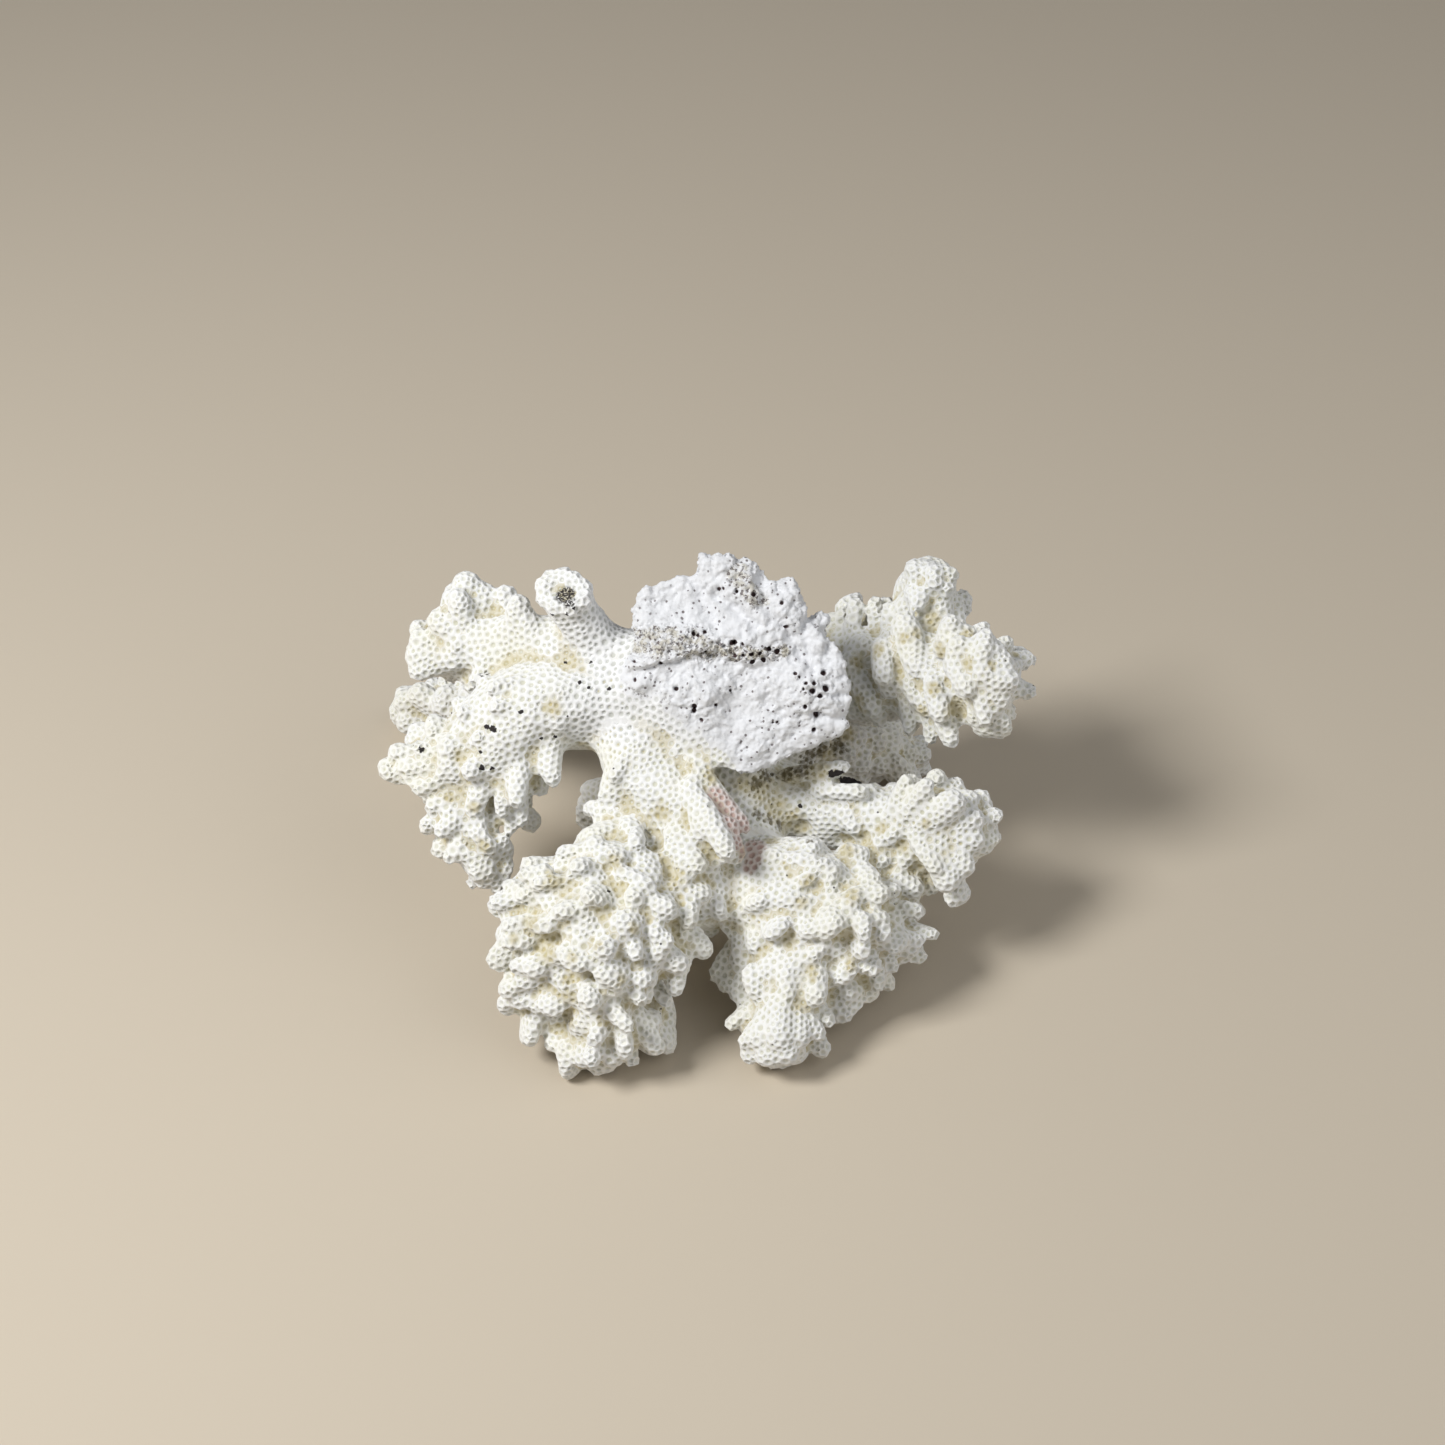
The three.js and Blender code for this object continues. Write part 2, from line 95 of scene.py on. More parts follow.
# Fingers and lobes that the photograph shows, each from where it grows to its tip, as u and v in
# the picture's plane, with its radius and how far it starts behind what is seen there
SEEN_FINGERS = [
    # upper left
    (-35.6, 17, -35.9, 21.2, 2.5, 0.6), (-36, 14, -37.2, 18.8, 1.9, 0.6),
    (-29.8, 16.4, -31.1, 19.4, 1.8, 0.6), (-27, 13.6, -29, 16.6, 1.9, 0.8),
    (-33.6, 16.2, -33.4, 19.8, 2.2, 0.8), (-37.4, 15.6, -38.4, 18.6, 1.8, 0.6),
    (-28.6, 14.6, -28.4, 18, 2, 0.6), (-38, 13, -41.2, 15.4, 2, 0.8),
    (-41, 11, -43.8, 12.4, 1.9, 0.8), (-41.5, 9, -44.6, 9.4, 1.9, 0.8),
    (-41, 7.6, -44, 6.6, 1.6, 1), (-33, 7.7, -35.7, 4.9, 0.9, 1),
    # far left
    (-41, 3, -43.8, 5, 2.2, 0.6), (-43, 2.6, -46, 3.4, 2.2, 0.6), (-39, 3, -38.3, 5.2, 1.9, 0.6),
    (-43, 0, -45.8, 0.2, 2.1, 0.6),
    # lower left
    (-29.7, 5.3, -33.4, 4.4, 1.1, 0.6), (-29.7, 2.2, -33.2, 2.2, 1, 0.6),
    (-23.4, 2, -22.6, -1.5, 1.2, 0.8), (-24.4, -3.8, -23.6, -9.4, 1.25, 0.8),
    (-26.5, -6.5, -26, -10.5, 1, 3), (-28.4, -6.5, -28.9, -12.4, 1.5, 0.6),
    (-30.9, -10, -30.8, -13.8, 0.85, 2), (-28.2, -11, -27.9, -15, 1.2, 4),
    (-29.6, -12, -29.6, -16, 1.1, 4.5), (-34, -9.7, -35.1, -13.4, 1.6, 0.8),
    (-42, -6.3, -45.8, -6.5, 1.2, 1), (-42, -7.8, -45, -8.2, 1, 1), (-41, -8.8, -43.8, -10, 1.1, 1),
    (-41.5, -4, -43.8, -2.9, 1, 1), (-39.5, -11, -41.8, -12.4, 1.3, 1),
    (-38.5, -14.5, -40.4, -16, 1.3, 1), (-37.5, -18, -38.8, -19.8, 1.4, 1),
    (-33.5, -16.5, -31.8, -18.4, 1.2, 1), (-34.5, -20, -34, -22.6, 1.5, 1),
    (-33.4, -19.5, -31.9, -22, 1.2, 1),
    # centre
    (-15.6, -7, -16.7, -10.2, 1.1, 1.4), (-15.2, -11.8, -18.6, -13.5, 1, 1.6),
    (-1.2, -14.6, 1.3, -19.4, 1.7, -0.5), (-5, -17.4, -2.6, -21.2, 1.4, -0.3),
    (-6.2, -19.2, -4.6, -22.6, 1.1, 0.2), (-1.4, -9.6, 2, -14.2, 1.8, 1.6),
    (0.6, -12, 3.8, -15.6, 1.5, 1.8), (-13.6, -5, -15.8, -8.6, 1.2, 0.4),
    (-3.6, -12, -2.6, -16.6, 1.6, 0),
    # front left
    (-17.8, -18, -18.2, -15.6, 1.6, 1.2), (-21.1, -18, -23.6, -18.2, 1, 1),
    (-26.2, -21, -29, -21.7, 1, 1), (-29.5, -24.9, -32.7, -25.5, 1.3, 1),
    (-28.8, -28.2, -31.4, -28.7, 1.3, 1), (-28.8, -30.8, -31.3, -31.1, 1.2, 1),
    (-27.8, -33.8, -30, -34.4, 1.2, 1), (-27.6, -36.4, -29.6, -36.7, 1.2, 1),
    (-27.2, -38.8, -29.4, -39.6, 1.3, 1), (-25, -39, -26.9, -40.6, 1.1, 1.2),
    (-24, -42.2, -25, -43.8, 1.5, 1), (-23.4, -44.6, -24.6, -45.8, 1.4, 1),
    (-22, -46, -22.4, -47.7, 1.3, 1), (-19.4, -46.5, -19.5, -48.5, 1.4, 1),
    (-15.6, -46.4, -15.4, -48.5, 1.3, 1), (-12.8, -46.2, -12.4, -48.6, 1.2, 1),
    (-11.2, -43, -8.2, -46.5, 1.7, 1), (-15.4, -40.4, -12.2, -43.3, 1.35, 0.2),
    (-12.8, -37.8, -10.1, -39.5, 1.05, 0.2), (-16.2, -36.4, -14.5, -38.3, 0.85, 0.2),
    (-12.8, -35.6, -9.9, -36.6, 1.2, 0.2), (-8, -32.6, -4.8, -34.6, 1.9, 0.8),
    (-3.4, -30.8, -1.8, -33, 1.7, 1.2), (-12.2, -21.9, -9, -23.4, 1.2, 0.2),
    (-9.8, -25.2, -6, -25.6, 0.95, 0.4), (-9.6, -33, -6.6, -29.2, 1.1, 0.4),
    # front right
    (0.2, -33, -1.9, -36, 1.1, 2), (1, -35, -0.2, -38, 1.1, 2), (2.8, -36, 1.2, -39.2, 1.05, 1.4),
    (2.3, -31, 1.9, -33.4, 1.1, 1), (2.4, -41.2, -0.1, -43.2, 1, 1.5),
    (3.8, -43.6, 2.2, -45.6, 1.1, 1), (4.2, -36.2, 4.8, -38.9, 1.5, 0.4),
    (9, -36.6, 9.3, -39.2, 0.9, 0.2), (13.1, -36.8, 13.1, -39.9, 1.8, 0.4),
    (12.6, -42.5, 14.4, -44.6, 1.4, 1), (16.8, -39.8, 17.1, -42.3, 1.6, 1),
    (18.4, -38.8, 18.9, -40.6, 1.3, 1), (20.2, -37.6, 21.1, -39.3, 1.2, 1),
    (21.6, -35.6, 22.5, -37.8, 1.1, 1), (23.4, -33.6, 24.4, -35.2, 1.2, 1),
    (25.6, -31.6, 27.3, -32.6, 1.3, 1), (26, -30.2, 28.4, -31, 1.3, 1),
    (26.4, -26.2, 28.4, -27, 1.3, 1), (25.6, -22.6, 28.4, -23.8, 1.7, 1),
    (19.8, -28.6, 19.9, -30.9, 1, 0), (22.6, -28.6, 22.7, -30.9, 1.05, 0),
    (12, -19.4, 15.6, -20, 1, 0.2), (5.8, -42.4, 4.6, -45.6, 1.7, 0.4),
    (8, -41.6, 7.8, -46, 2.3, 0.2), (10.4, -42.4, 11, -45.6, 1.9, 0.4),
    (6.6, -45.6, 6.8, -48.2, 2.2, 0.4), (8.8, -45.4, 9.4, -47.8, 1.8, 0.4),
    (4, -45.8, 3.4, -47.8, 1.5, 0.4),
    # right
    (12.6, -6.9, 18.2, -6, 1.35, -2.2), (16.4, -9.6, 20.6, -9.7, 1.3, -1.2),
    (24.4, -11, 26.2, -7, 1.3, 0.2), (27, -11, 29.2, -7.6, 1.5, 0.2),
    (29.8, -13, 33.6, -10, 2.4, 0), (34, -14, 36.6, -12.8, 1.8, 0.8),
    (34, -16.4, 36.8, -16.4, 1.9, 0.8), (34.8, -16.2, 38, -15.8, 2, 3),
    (33.4, -19.6, 34.8, -21.4, 1.8, 0.8), (30.8, -19.8, 32, -23.8, 2.3, 0.6),
    (28.4, -18.4, 30.4, -21.4, 1.3, 0), (17.6, -13.4, 18.8, -15.8, 1, 0.2),
    # upper right
    (28.2, 19, 28.2, 23, 3, 0.8), (30.2, 18.6, 30.8, 22.2, 2.7, 0.8),
    (27.4, 20.6, 25.6, 21.8, 1.3, -0.6), (31.6, 20.4, 33, 21.4, 1.2, -0.6),
    (28.6, 20.8, 28.2, 22.4, 1.7, -0.4), (31, 20.4, 31.8, 22, 1.5, -0.4),
    (28.6, 19.4, 28.8, 22, 2.6, 5), (27, 18.4, 25.4, 17.6, 1.4, -0.6),
    (29.6, 20.4, 29.8, 18.6, 1.3, -2), (31, 18.8, 32.4, 18.2, 1.2, -1.2),
    (27.6, 17.4, 27, 15.6, 1.3, -1.4), (29.4, 15, 31.8, 17, 2.4, 0.8), (32, 17, 33.8, 16.6, 1.3, 2),
    (33.6, 11.6, 35.2, 13.4, 1.7, 0.6), (36, 11, 37.6, 12.4, 1.6, 0.6),
    (37.6, 9.8, 39.4, 11, 1.6, 0.8), (38.4, 8, 40.8, 8.8, 1.7, 0.8), (39, 6, 41.8, 6, 1.8, 0.8),
    (38.2, 3.8, 40.4, 3.2, 1.7, 0.8), (37.4, 2.6, 39, 1.2, 1.2, 1.5),
    (36.4, 2, 36.9, -1.4, 1.2, 0.8), (31.4, 0, 32.3, -3.9, 1.5, 0.8), (25.8, 2, 26.4, -2.4, 1.1, 1),
    (29, 0, 29.2, -3.6, 1, 3), (27, 3.8, 28.9, 0.8, 1.35, 0.4), (22, 3, 22, -0.9, 1.5, 2.5),
    (26.4, 10.8, 28, 5.8, 2.3, -0.5), (31.4, 12, 32.4, 15.2, 1.7, -0.4),
    (32.6, 9.4, 33.4, 12.4, 1.6, -0.4), (33.2, 6.4, 34.6, 3.4, 1.7, -0.3),
    (30, 3.4, 30.8, -0.2, 1.7, -0.2), (36, 8, 37, 5.4, 1.6, -0.2), (36.6, 11, 36.2, 8.6, 1.4, -0.2),
    (22.4, 8.6, 22.4, 5, 1.8, -0.3), (19.4, 5.4, 21.6, 0.4, 2, 0.6),
    (18.3, 14.4, 18.8, 17.8, 1.35, 1.5), (21.4, 14.6, 21.3, 18.1, 1.2, 1),
    (23, 15, 23.2, 17.1, 0.9, 1), (16.6, 14.4, 17.4, 16.4, 1.1, 1.5),
    (13.4, 13.5, 13.6, 16, 1.5, 2),
]

# Lumps round the holdfast's rim: u, v and radius, all at RIM_DEPTH along w
RIM_LUMPS = [
    (-10.7, 18, 1.2), (-2.5, 21.8, 1.4), (0.3, 22.6, 1.5), (3.2, 21.8, 1.4), (5, 20.1, 1.4),
    (7, 18.8, 1.3), (9.5, 18.6, 1.5), (10.2, 16.6, 1.4), (9.8, 14.5, 1.3), (12.2, 12.5, 1.4),
    (14, 11, 1.3), (16, 10.2, 0.9), (16.4, 7.9, 1.2), (17, 5.5, 1.2), (17.1, 3.1, 1.1),
    (16.6, 1.1, 1), (17.1, -0.4, 0.9), (16.2, -1.2, 0.8), (15, -1.7, 0.8), (13.8, -2.2, 0.8),
    (12.6, -2.7, 0.85), (11.3, -3.3, 0.8), (10, -3.9, 0.8), (8.8, -4.4, 0.8), (7.5, -5, 0.8),
    (6.2, -5.6, 0.8), (5, -6.1, 0.8), (3.8, -6.6, 0.8), (2.6, -6.7, 0.75), (1.4, -6.2, 0.8),
    (0, -5.7, 0.8), (-1.4, -5.2, 0.8), (-3, -4.7, 0.8), (-4.6, -4.2, 0.8), (-6.2, -3.6, 0.9),
]
RIM_DEPTH = -1.6
# Tan pockets between the fingers, their tan partly painted shade: u, v, radius and depth
POCKETS = [
    (-23.3, -22.2, 1.7, 1.5), (-26.9, -27.5, 1.5, 1.4), (-24.5, -31.3, 1.7, 1.5),
    (-20.7, -32.5, 0.9, 1), (-21.6, -41.6, 1.1, 1.2), (-21.1, -39, 1.3, 1.3),
    (-21.4, -35.9, 0.9, 1), (-13.5, -35.9, 0.8, 1), (-13.7, -38.8, 0.7, 1), (-7.2, -21.5, 1.9, 1.4),
    (-15.6, -19.6, 1.2, 1.1), (-16.8, -26.5, 1.1, 1), (-18.3, -30.9, 0.9, 1),
    (-29.3, -30.4, 0.8, 1), (-12, -28.6, 1, 0.9), (16.7, -17.3, 1.5, 2.2), (19.5, -16, 1.1, 1.2),
    (9.1, -30.9, 1.1, 1.2), (13.1, -34.9, 1.2, 1.2), (17.3, -33.6, 1, 1.1), (17.6, -23.7, 1.3, 1.2),
    (12.8, -22.4, 1.3, 1.1), (10.7, -25.6, 1, 0.9), (5.6, -32, 0.9, 0.9), (6.9, -16, 1, 0.9),
    (24.7, -17.3, 1.1, 1.1), (22, -14.6, 1, 1), (28.4, -14.6, 0.9, 0.8), (-24.3, 2.3, 1.3, 1),
    (-1.5, -18.6, 0.8, 1.2), (17.4, -7.8, 1.1, 2.6), (18.9, -7.6, 1, 2.2), (15.8, -8, 0.9, 1.6),
    (11, -15, 1.2, 1.6), (3.4, -18, 1.6, 1.6), (34.6, 12.8, 1.1, 1.2), (30.3, 9.4, 1.2, 1.4),
    (29.6, 4.8, 1.2, 1.3), (27.4, 12.4, 1, 1.1), (29.4, 14.6, 1.5, 1.5), (24.6, 6.8, 1.1, 1.2),
    (24.9, 12.2, 1, 1), (34.4, 7.6, 1, 1.1), (38, 8.2, 0.8, 0.8), (21.6, 10.8, 1.2, 1.1),
    (32.4, 1.4, 1, 1), (27.4, 1.4, 1.2, 1.2), (19, 9, 1.3, 1), (-36.6, -5.2, 1.2, 0.9),
    (-38.4, -10.6, 1.1, 0.9), (-34.6, -12, 1, 0.9), (-33.8, -17.6, 1.1, 0.9), (-9, -12.8, 1.4, 0.7),
    (-36.4, 6.4, 0.9, 0.9), (-26, -8.4, 1, 1), (-31.4, -14.6, 1, 1),
]
# The stub's broken end: where it is, which way it faces, and the lumps round its rim
STUB_END = (-22.2, 18.4, -1.6)
STUB_FACING = (-0.2, 0.45, 0.87)
STUB_LUMPS = [
    (-25.2, 19.3, 1.2), (-25.3, 17.4, 1.1), (-23.6, 16.3, 1.1), (-24.4, 20.6, 1.1), (-22.4, 20.8, 1.2),
    (-20.9, 20.2, 1.1), (-19.5, 18.9, 1.2), (-19.4, 17.3, 1.1), (-21.3, 16, 1.1),
]

# The smooth skin that fingers grow on: how far the nodes swell so that the gaps at the forks close,
# and its grain
SWELL = 0.26
COARSE_GRAIN = 0.8
# The middle of the branches, in the viewer's frame, that all fingers lean away from
HUB = (-1, 2, -17)
# How much a free finger follows the surface's normal, the way outward, and chance
NORMAL_SHARE = 0.55
OUTWARD_SHARE = 0.9
LEAN = 0.2
# Chance ranges of a free finger's length, its radius and how broad it is for its depth
LENGTH_RANGE = (0.75, 1.3)
RADIUS_RANGE = (0.8, 1.15)
WIDTH_RANGE = (1.1, 2.1)
# Free fingers grow where a branch is at least this full of them and this high above the floor, and
# their tips stay clear of it
LEAST_FULL = 0.08
LOWEST_ROOT = 0.8
FLOOR_GAP = 1.0
# Room round the fingers and pockets that are placed one by one, and the least of their radii
FINGER_ROOM = 0.7
POCKET_ROOM = 1.7
LEAST_ROOM = 1.8
LEAST_RADIUS = 1.15
# How square a finger's end is, and how much its sides are drawn in towards it
BLUNTNESS = 0.75
TAPER = 0.8
# The lumps round a broken face: how unevenly they stand out, how much wider they are than their
# given radius, and how far they reach as a share of it
RIM_UNEVEN = 0.25
RIM_WIDTH = 1.15
RIM_REACH = 0.9
# How near to a spot's or a finger's own place in the picture the surface is searched
SPOT_REACH = 0.6
FINGER_REACH = 1.2
# How deep a finger is rooted, as a share of its radius, and how much one that isn't further behind
# than FRONT_DEPTH rises towards the viewer, as a share of its length
ROOTED = 0.5
RISE = 0.4
FRONT_DEPTH = 0.7
# The uneven ground between the fingers: the size of its hollows
GROUND_SIZE = 3.4
# Small swells of the bare skin: their size and height, and how far the skin sinks near the floor
SWELL_SIZE = 2.6
SWELL_HEIGHT = 0.16
FOOT_SINK = 0.35
FOOT_HEIGHT = 4
TINY = 1e-6


def to_view(points):
    return (np.asarray(points) - VIEW_ORIGIN) @ VIEW_AXES.T


def from_view(points):
    return np.asarray(points) @ VIEW_AXES + VIEW_ORIGIN


def seen_at(view):
    """Where places in the viewer's frame are seen, on the picture's plane."""
    return view[:, :2] * (CAMERA_DISTANCE / (CAMERA_DISTANCE - view[:, 2:]))


def smoothstep(low, high, value):
    t = np.clip((value - low) / (high - low), 0, 1)
    return t * t * (3 - 2 * t)


# Meshes as arrays

def corner_places(mesh):
    places = np.empty(len(mesh.vertices) * 3)
    mesh.vertices.foreach_get("co", places)
    return places.reshape(-1, 3)


def triangles_of(mesh):
    mesh.calc_loop_triangles()
    corners = np.empty(len(mesh.loop_triangles) * 3, np.int32)
    mesh.loop_triangles.foreach_get("vertices", corners)
    return corners.reshape(-1, 3)


def normals_of(places, triangles):
    a, b, c = (places[triangles[:, k]] for k in range(3))
    facing = np.cross(b - a, c - a)
    normals = np.zeros_like(places)
    for k in range(3):
        for axis in range(3):
            normals[:, axis] += np.bincount(triangles[:, k], facing[:, axis], len(places))
    return normals / np.maximum(np.linalg.norm(normals, axis=1, keepdims=True), 1e-12)


def neighbours_of(triangles, count):
    """Each vertex's neighbours in a closed mesh, padded with the vertex itself."""
    pairs = np.concatenate([triangles[:, [0, 1]], triangles[:, [1, 2]], triangles[:, [2, 0]]])
    pairs = pairs[np.argsort(pairs[:, 0], kind="stable")]
    first = np.searchsorted(pairs[:, 0], np.arange(count))
    rank = np.arange(len(pairs)) - first[pairs[:, 0]]
    table = np.repeat(np.arange(count)[:, None], rank.max() + 1, axis=1)
    table[pairs[:, 0], rank] = pairs[:, 1]
    return table


def islands_of(rows):
    """The number of the connected part that each item is in, from its list of neighbours."""
    island = [-1] * len(rows)
    count = 0
    for start in range(len(rows)):
        if island[start] >= 0:
            continue
        island[start] = count
        front = [start]
        while front:
            for other in rows[front.pop()]:
                if island[other] < 0:
                    island[other] = count
                    front.append(other)
        count += 1
    return np.array(island)


def largest_island(places, triangles):
    """The places and triangles of the biggest connected part of a mesh."""
    island = islands_of(neighbours_of(triangles, len(places)).tolist())
    kept = island == np.bincount(island).argmax()
    number = np.cumsum(kept) - 1
    return places[kept], number[triangles[kept[triangles].all(axis=1)]]


def smoothed(values, neighbours, times, share=0.5):
    for _ in range(times):
        values = values * (1 - share) + values[neighbours].mean(axis=1) * share
    return values


def fractal(places, size, octaves, seed):
    """Noise from about -1 to 1 at each place, with features of that size."""
    shift = Vector((seed * 17.3, seed * 5.1, seed * 9.7))
    return np.array([noise.fractal(Vector(p) / size + shift, 1.0, 2.0, octaves) for p in places])


# The whole coral as one closed, fine surface

def remeshed(mesh, voxel):
    """The outer skin of a mesh whose parts may overlap, as near-square faces of that size."""
    holder = bpy.data.objects.new("holder", mesh)
    bpy.context.collection.objects.link(holder)
    skin = holder.modifiers.new("skin", "REMESH")
    skin.mode = "VOXEL"
    skin.voxel_size = voxel
    evaluated = holder.evaluated_get(bpy.context.evaluated_depsgraph_get())
    made = bpy.data.meshes.new_from_object(evaluated)
    bpy.data.objects.remove(holder)
    bpy.data.meshes.remove(mesh)
    return made


def swollen_nodes(grow):
    """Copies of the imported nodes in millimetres, swollen so that the gaps at the forks close."""
    whole = bmesh.new()
    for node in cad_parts.values():
        one = bmesh.new()
        one.from_mesh(node.data)
        bmesh.ops.scale(one, vec=(1 / MM,) * 3, verts=one.verts)
        bmesh.ops.remove_doubles(one, verts=one.verts, dist=0.001)
        one.normal_update()
        for vert in one.verts:
            vert.co += vert.normal * grow
        copy = bpy.data.meshes.new("copy")
        one.to_mesh(copy)
        one.free()
        whole.from_mesh(copy)
        bpy.data.meshes.remove(copy)
    mesh = bpy.data.meshes.new("swollen")
    whole.to_mesh(mesh)
    whole.free()
    return mesh


def node_trees():
    """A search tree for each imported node's surface, in millimetres."""
    trees = {}
    for name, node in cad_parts.items():
        places = corner_places(node.data) / MM
        trees[name] = BVHTree.FromPolygons(places.tolist(), triangles_of(node.data).tolist())
    return trees


def nearest_nodes(places):
    """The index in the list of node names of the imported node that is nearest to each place."""
    corners, faces, owner = [], [], []
    count = 0
    for index, node in enumerate(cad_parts.values()):
        triangles = triangles_of(node.data)
        corners += (corner_places(node.data) / MM).tolist()
        faces += (triangles + count).tolist()
        owner += [index] * len(triangles)
        count += len(node.data.vertices)
    tree = BVHTree.FromPolygons(corners, faces)
    return np.array([owner[tree.find_nearest(place)[2]] for place in places.tolist()])


def distances_to(tree, places):
    """How far each place is from the surface that a tree holds."""
    return np.array([tree.find_nearest(place)[3] for place in places.tolist()])


def spread(places, spacing, rng):
    """Indices of places that stand at least their spacing apart, picked in random order."""
    tree = KDTree(len(places))
    for index, place in enumerate(places.tolist()):
        tree.insert(place, index)
    tree.balance()
    free = np.ones(len(places), bool)
    picked = []
    for index in rng.permutation(len(places)):
        if free[index]:
            picked.append(index)
            for _, other, _ in tree.find_range(places[index], spacing[index]):
                free[other] = False
    return np.array(picked)


def finger_cloud(roots, directions, ups, radii, widths, lengths):
    """One mesh of a blunt, flattened ellipsoid at each root, joined from arrays."""
    ball = bmesh.new()
    bmesh.ops.create_icosphere(ball, subdivisions=2, radius=1)
    points = np.array([vert.co for vert in ball.verts])
    faces = np.array([[vert.index for vert in face.verts] for face in ball.faces])
    ball.free()
    side = np.cross(directions, ups)
    side /= np.maximum(np.linalg.norm(side, axis=1, keepdims=True), TINY)
    front = np.cross(directions, side)
    blunt = np.sign(points[:, 2]) * np.abs(points[:, 2]) ** BLUNTNESS
    girth = np.hypot(points[:, 0], points[:, 1])
    round_off = np.sqrt(np.maximum(1 - blunt ** 4 * TAPER, 0)) / np.maximum(girth, TINY)
    round_off = np.where(girth < 1e-3, 0, round_off)
    across, deep = points[:, 0] * round_off, points[:, 1] * round_off
    places = (
        roots[:, None]
        + side[:, None] * (across[None, :, None] * (radii * widths)[:, None, None])
        + front[:, None] * (deep[None, :, None] * radii[:, None, None])
        + directions[:, None] * (blunt[None, :, None] * lengths[:, None, None])
    )
    corners = (faces[None] + np.arange(len(roots))[:, None, None] * len(points)).reshape(-1, 3)
    mesh = bpy.data.meshes.new("fingers")
    mesh.from_pydata(places.reshape(-1, 3).tolist(), [], corners.tolist())
    return mesh


def seen_spots(places, spots):
    """Where spots that are seen at u and v lie, on the foremost of the places there."""
    view = to_view(places)
    at = seen_at(view)
    found = []
    for u, v, *_ in spots:
        off = np.linalg.norm(at - [u, v], axis=1)
        near = np.flatnonzero(off < max(SPOT_REACH, off.min() + 0.1))
        found.append(places[near[view[near, 2].argmax()]])
    return np.array(found)


def seen_fingers(places, normals):
    """Roots, directions, surface normals, radii and lengths of the fingers that the picture shows."""
    view = to_view(places)
    facing = normals @ VIEW_AXES[2]
    at = seen_at(view)
    rows = []
    for u, v, to_u, to_v, radius, behind in SEEN_FINGERS:
        off = np.linalg.norm(at - [u, v], axis=1)
        near = off < max(FINGER_REACH, off.min() + 0.4)
        front = np.flatnonzero(near)[view[near, 2].argmax()]
        w = view[front, 2] - radius * ROOTED - behind
        scale = (CAMERA_DISTANCE - w) / CAMERA_DISTANCE
        reach = math.hypot(to_u - u, to_v - v)
        rise = RISE * reach * max(facing[front], 0) if behind < FRONT_DEPTH else 0.0
        root = np.array([u * scale, v * scale, w])
        tip = np.array([to_u * scale, to_v * scale, w + rise])
        length = np.linalg.norm(tip - root)
        rows.append((root, (tip - root) / length, normals[front], radius, length))
    roots, ways, ups, radii, lengths = (np.array(column) for column in zip(*rows))
    roots, ways = from_view(roots), ways @ VIEW_AXES
    # A finger that points down ends above the floor
    drop = np.maximum(-ways[:, 2], TINY)
    lengths = np.minimum(lengths, np.maximum(roots[:, 2] - 0.6 * radii, 0.5) / drop)
    return roots, ways, ups, np.maximum(radii, LEAST_RADIUS), lengths


def joined(*meshes):
    """One mesh of several, which are removed."""
    whole = bmesh.new()
    for mesh in meshes:
        whole.from_mesh(mesh)
        bpy.data.meshes.remove(mesh)
    made = bpy.data.meshes.new("joined")
    whole.to_mesh(made)
    whole.free()
    return made


def rim_lumps(lumps, centre, facing, rng):
    """Flat lumps that stand round a broken face, in the plane through its centre."""
    u, v, radii = np.array(lumps).T
    facing = np.array(facing) / np.linalg.norm(facing)
    w = centre[2] - ((u - centre[0]) * facing[0] + (v - centre[1]) * facing[1]) / facing[2]
    roots = from_view(np.c_[u, v, w + rng.normal(0, RIM_UNEVEN, len(u))])
    ways = np.tile(facing @ VIEW_AXES, (len(u), 1))
    ups = np.tile(VIEW_AXES[0], (len(u), 1))
    widths = rng.uniform(0.9, 1.2, len(u))
    return finger_cloud(roots, ways, ups, radii * RIM_WIDTH, widths, radii * RIM_REACH)


def free_roots(places, full, placed, pockets, sizes, rng):
    """Indices of the places where fingers grow besides those that are placed one by one."""
    spacing = sizes.finger_spacing / MM * (1.25 - 0.25 * full)
    picked = spread(places, spacing, rng)
    picked = picked[(full[picked] > LEAST_FULL) & (places[picked, 2] > LOWEST_ROOT)]
    roots, ways, _, radii, lengths = placed
    taken = KDTree(3 * len(roots) + len(pockets))
    room = np.append(np.repeat(radii, 3) + FINGER_ROOM, np.full(len(pockets), POCKET_ROOM))
    for index, (root, way, length) in enumerate(zip(roots, ways, lengths)):
        for step in range(3):
            taken.insert(root + way * length * step / 2, 3 * index + step)
    for index, middle in enumerate(pockets):
        taken.insert(middle, 3 * len(roots) + index)
    taken.balance()
    nearest = [taken.find(place) for place in places[picked].tolist()]
    return picked[[distance > max(LEAST_ROOM, room[index]) for _, index, distance in nearest]]


def free_fingers(roots, normals, full, share, sizes, rng):
    """Fingers on those roots, of chance sizes, that lean outward and stay off the floor."""
    growing = roots - from_view(HUB)
    growing /= np.linalg.norm(growing, axis=1, keepdims=True)
    lean = rng.normal(0, LEAN, (len(roots), 3))
    directions = normals * NORMAL_SHARE + growing * OUTWARD_SHARE + lean
    directions /= np.linalg.norm(directions, axis=1, keepdims=True)
    size = rng.uniform(*LENGTH_RANGE, len(roots))
    radii = sizes.finger_radius / MM * (0.65 + 0.35 * full) * rng.uniform(*RADIUS_RANGE, len(roots))
    widths = rng.uniform(*WIDTH_RANGE, len(roots))
    lengths = sizes.finger_length / MM * (0.3 + 0.7 * full) * share * size
    tips = roots + directions * lengths[:, None]
    kept = tips[:, 2] > radii * 0.8 + FLOOR_GAP
    rows = (roots, directions, normals, radii, widths, lengths)
    return finger_cloud(*(row[kept] for row in rows))


